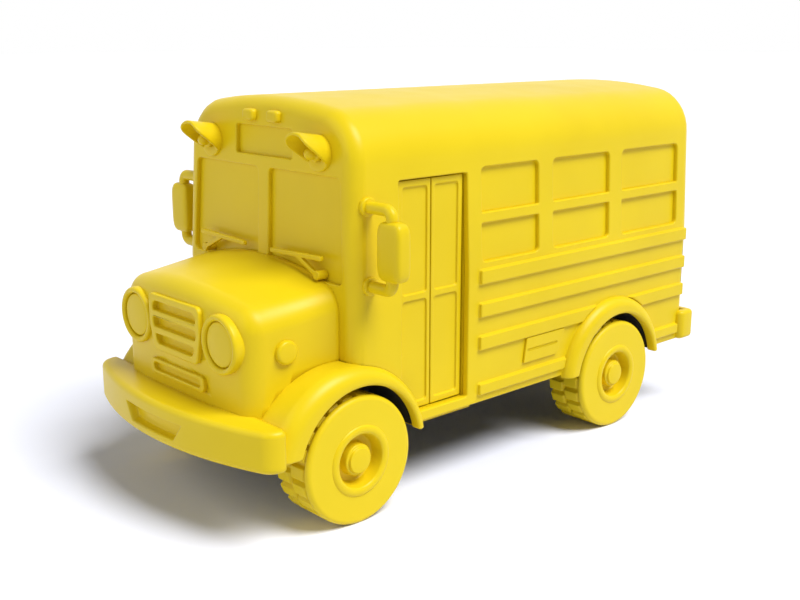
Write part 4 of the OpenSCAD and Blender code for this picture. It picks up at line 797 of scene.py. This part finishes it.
def marker_lamps():
    lamps = []
    for cx in (-MARKER_X, MARKER_X):
        lamps.append(pillow((2.9, 2.0, 1.9), 0.5, lambda x, y, z, cx=cx: on_front(x, z, -y, cx, MARKER_UP)))
    hand_over(mesh_piece("marker_lamps_moulded", lamps), "bus", "marker_lamps")


def mirror_head(name):
    low, high = box_mm(f"mirror_head_{name}")
    middle, half = [(a + b) / 2 for a, b in zip(low, high)], [(b - a) / 2 for a, b in zip(low, high)]
    shape = pillow(half, 0.42, lambda x, y, z: (middle[0] + x, middle[1] + y, middle[2] + z))
    hand_over(mesh_piece(f"mirror_head_{name}_moulded", [shape]), "bus", f"mirror_head_{name}")


marker_lamps()
mirror_head("left")
mirror_head("right")

# %% [markdown]
# ## Mirror arms
# Each mirror hangs between two bent pipes that grow out of round collars on the cab's side. A curve with a bevel
# depth would do, but a mesh keeps the bend's radius exact: a ring is swept along a straight, a quarter bend and a
# short straight.

# %% Mirror arms
ARM = {"r": 1.8, "reach": 54.6, "bend": 2.4, "top": 95.3, "low": 72.0, "y": -60, "collar": 2.8, "collar_t": 1.0}


def side_wall(z):
    return 45 - 1.6 * max(0, z - BELT_Z) / 36.69


def bent_pipe(side, z, turn):
    """Pipe from the wall at height z; turn is -1 where it bends down and 1 where it bends up."""
    bend_x = ARM["reach"] - ARM["bend"]
    path = [(x, z, 90) for x in spread(side_wall(z) - 1.5, bend_x, 4)]
    for a in spread(10, 90, 8):
        along, rise = math.sin(math.radians(a)), 1 - math.cos(math.radians(a))
        path.append((bend_x + ARM["bend"] * along, z + turn * ARM["bend"] * rise, 90 - a))
    path += [(ARM["reach"], z + turn * (ARM["bend"] + 2.0), 0)]
    rings = []
    for x, h, lean in path:
        u = (math.cos(math.radians(lean)), turn * -math.sin(math.radians(lean)))
        rings.append([(side * (x + ARM["r"] * math.cos(b) * u[0]), ARM["y"] + ARM["r"] * math.sin(b),
                       h + ARM["r"] * math.cos(b) * u[1]) for b in [math.radians(15 * k) for k in range(24)]])
    collar = [(0, -1.5), (ARM["collar"], -1.5)] + arc(ARM["collar"] - 0.5, ARM["collar_t"] - 0.5, 0.5, 0, 90, 5)
    collar += [(0, ARM["collar_t"])]
    return [loft(rings), lathe(collar, (side_wall(z), ARM["y"], z), "x", side, 48)]


for side, name in ((1, "left"), (-1, "right")):
    pipes = bent_pipe(side, ARM["top"], -1) + bent_pipe(side, ARM["low"], 1)
    hand_over(mesh_piece(f"mirror_arm_{name}_moulded", pipes), "bus", f"mirror_arm_{name}")

# %% [markdown]
# ## Stage
# The toy stands on a wide white sheet. It could be lit until it is white, but that would wash out the toy. So the
# sheet and the surroundings are white to the camera, and plain paper in what they reflect to the toy.

# %% White sheet
def seen_directly(tree):
    """1 for rays that show the background to the camera, also by way of gloss and glass."""
    path = add(tree, "ShaderNodeLightPath")
    first = add(tree, "ShaderNodeMath", {0: path.outputs["Is Camera Ray"], 1: path.outputs["Is Glossy Ray"]})
    second = add(tree, "ShaderNodeMath", {0: first.outputs[0], 1: path.outputs["Is Transmission Ray"]})
    second.use_clamp = True
    return second.outputs[0]


def white_sheet():
    material, tree, shader = new_material("white_paper")
    shown = add(tree, "ShaderNodeBsdfDiffuse", Color=(0.94, 0.96, 1.06, 1.0))
    paper = add(tree, "ShaderNodeBsdfDiffuse", Color=grey(0.8))
    mix = add(tree, "ShaderNodeMixShader", {0: seen_directly(tree), 1: paper.outputs[0], 2: shown.outputs[0]})
    tree.links.new(mix.outputs[0], tree.nodes["Material Output"].inputs["Surface"])
    mesh = bpy.data.meshes.new("floor")
    half = 6.0
    mesh.from_pydata([(-half, -half, 0), (half, -half, 0), (half, half, 0), (-half, half, 0)], [], [(0, 1, 2, 3)])
    mesh.materials.append(material)
    floor = bpy.data.objects.new("floor", mesh)
    scene.collection.objects.link(floor)
    print("sheet:", 2 * half, "m wide")


white_sheet()

# %% Surroundings
def surroundings():
    world = bpy.data.worlds.new("studio")
    scene.world = world
    world.use_nodes = True
    tree = world.node_tree
    room = tree.nodes["Background"]
    room.inputs["Color"].default_value = grey(1.0)
    room.inputs["Strength"].default_value = 0.12
    white = add(tree, "ShaderNodeBackground", Color=grey(1.0), Strength=1.0)
    mix = add(tree, "ShaderNodeMixShader", {0: seen_directly(tree), 1: room.outputs[0], 2: white.outputs[0]})
    tree.links.new(mix.outputs[0], tree.nodes["World Output"].inputs["Surface"])
    print("room light:", round(room.inputs["Strength"].default_value, 2))


surroundings()

# %% [markdown]
# ## Light
# One large soft key lamp at the upper right shapes the roof and the door side, and a weak fill opens the front.
# Area lamps near the toy would leave an edge of light on the sheet, so both are distant suns with a wide disc.

# %% Lamps
def soft_lamp(name, place, spread_deg, level):
    """Very large distant soft box: level 1 lights a surface that faces it as a white room would."""
    light = bpy.data.lights.new(name, "SUN")
    light.angle = math.radians(spread_deg)
    light.energy = level * math.pi
    lamp = bpy.data.objects.new(name, light)
    lamp.location = place
    aim(lamp, (0, 0, 0))
    scene.collection.objects.link(lamp)
    print(name, "level", level, "disc", spread_deg, "degrees")


soft_lamp("key", (0.63, 0.19, 1.0), 32, 1.11)
soft_lamp("fill", (-0.4, -1.3, 0.7), 60, 0.28)
scene.view_settings.view_transform = "Standard"
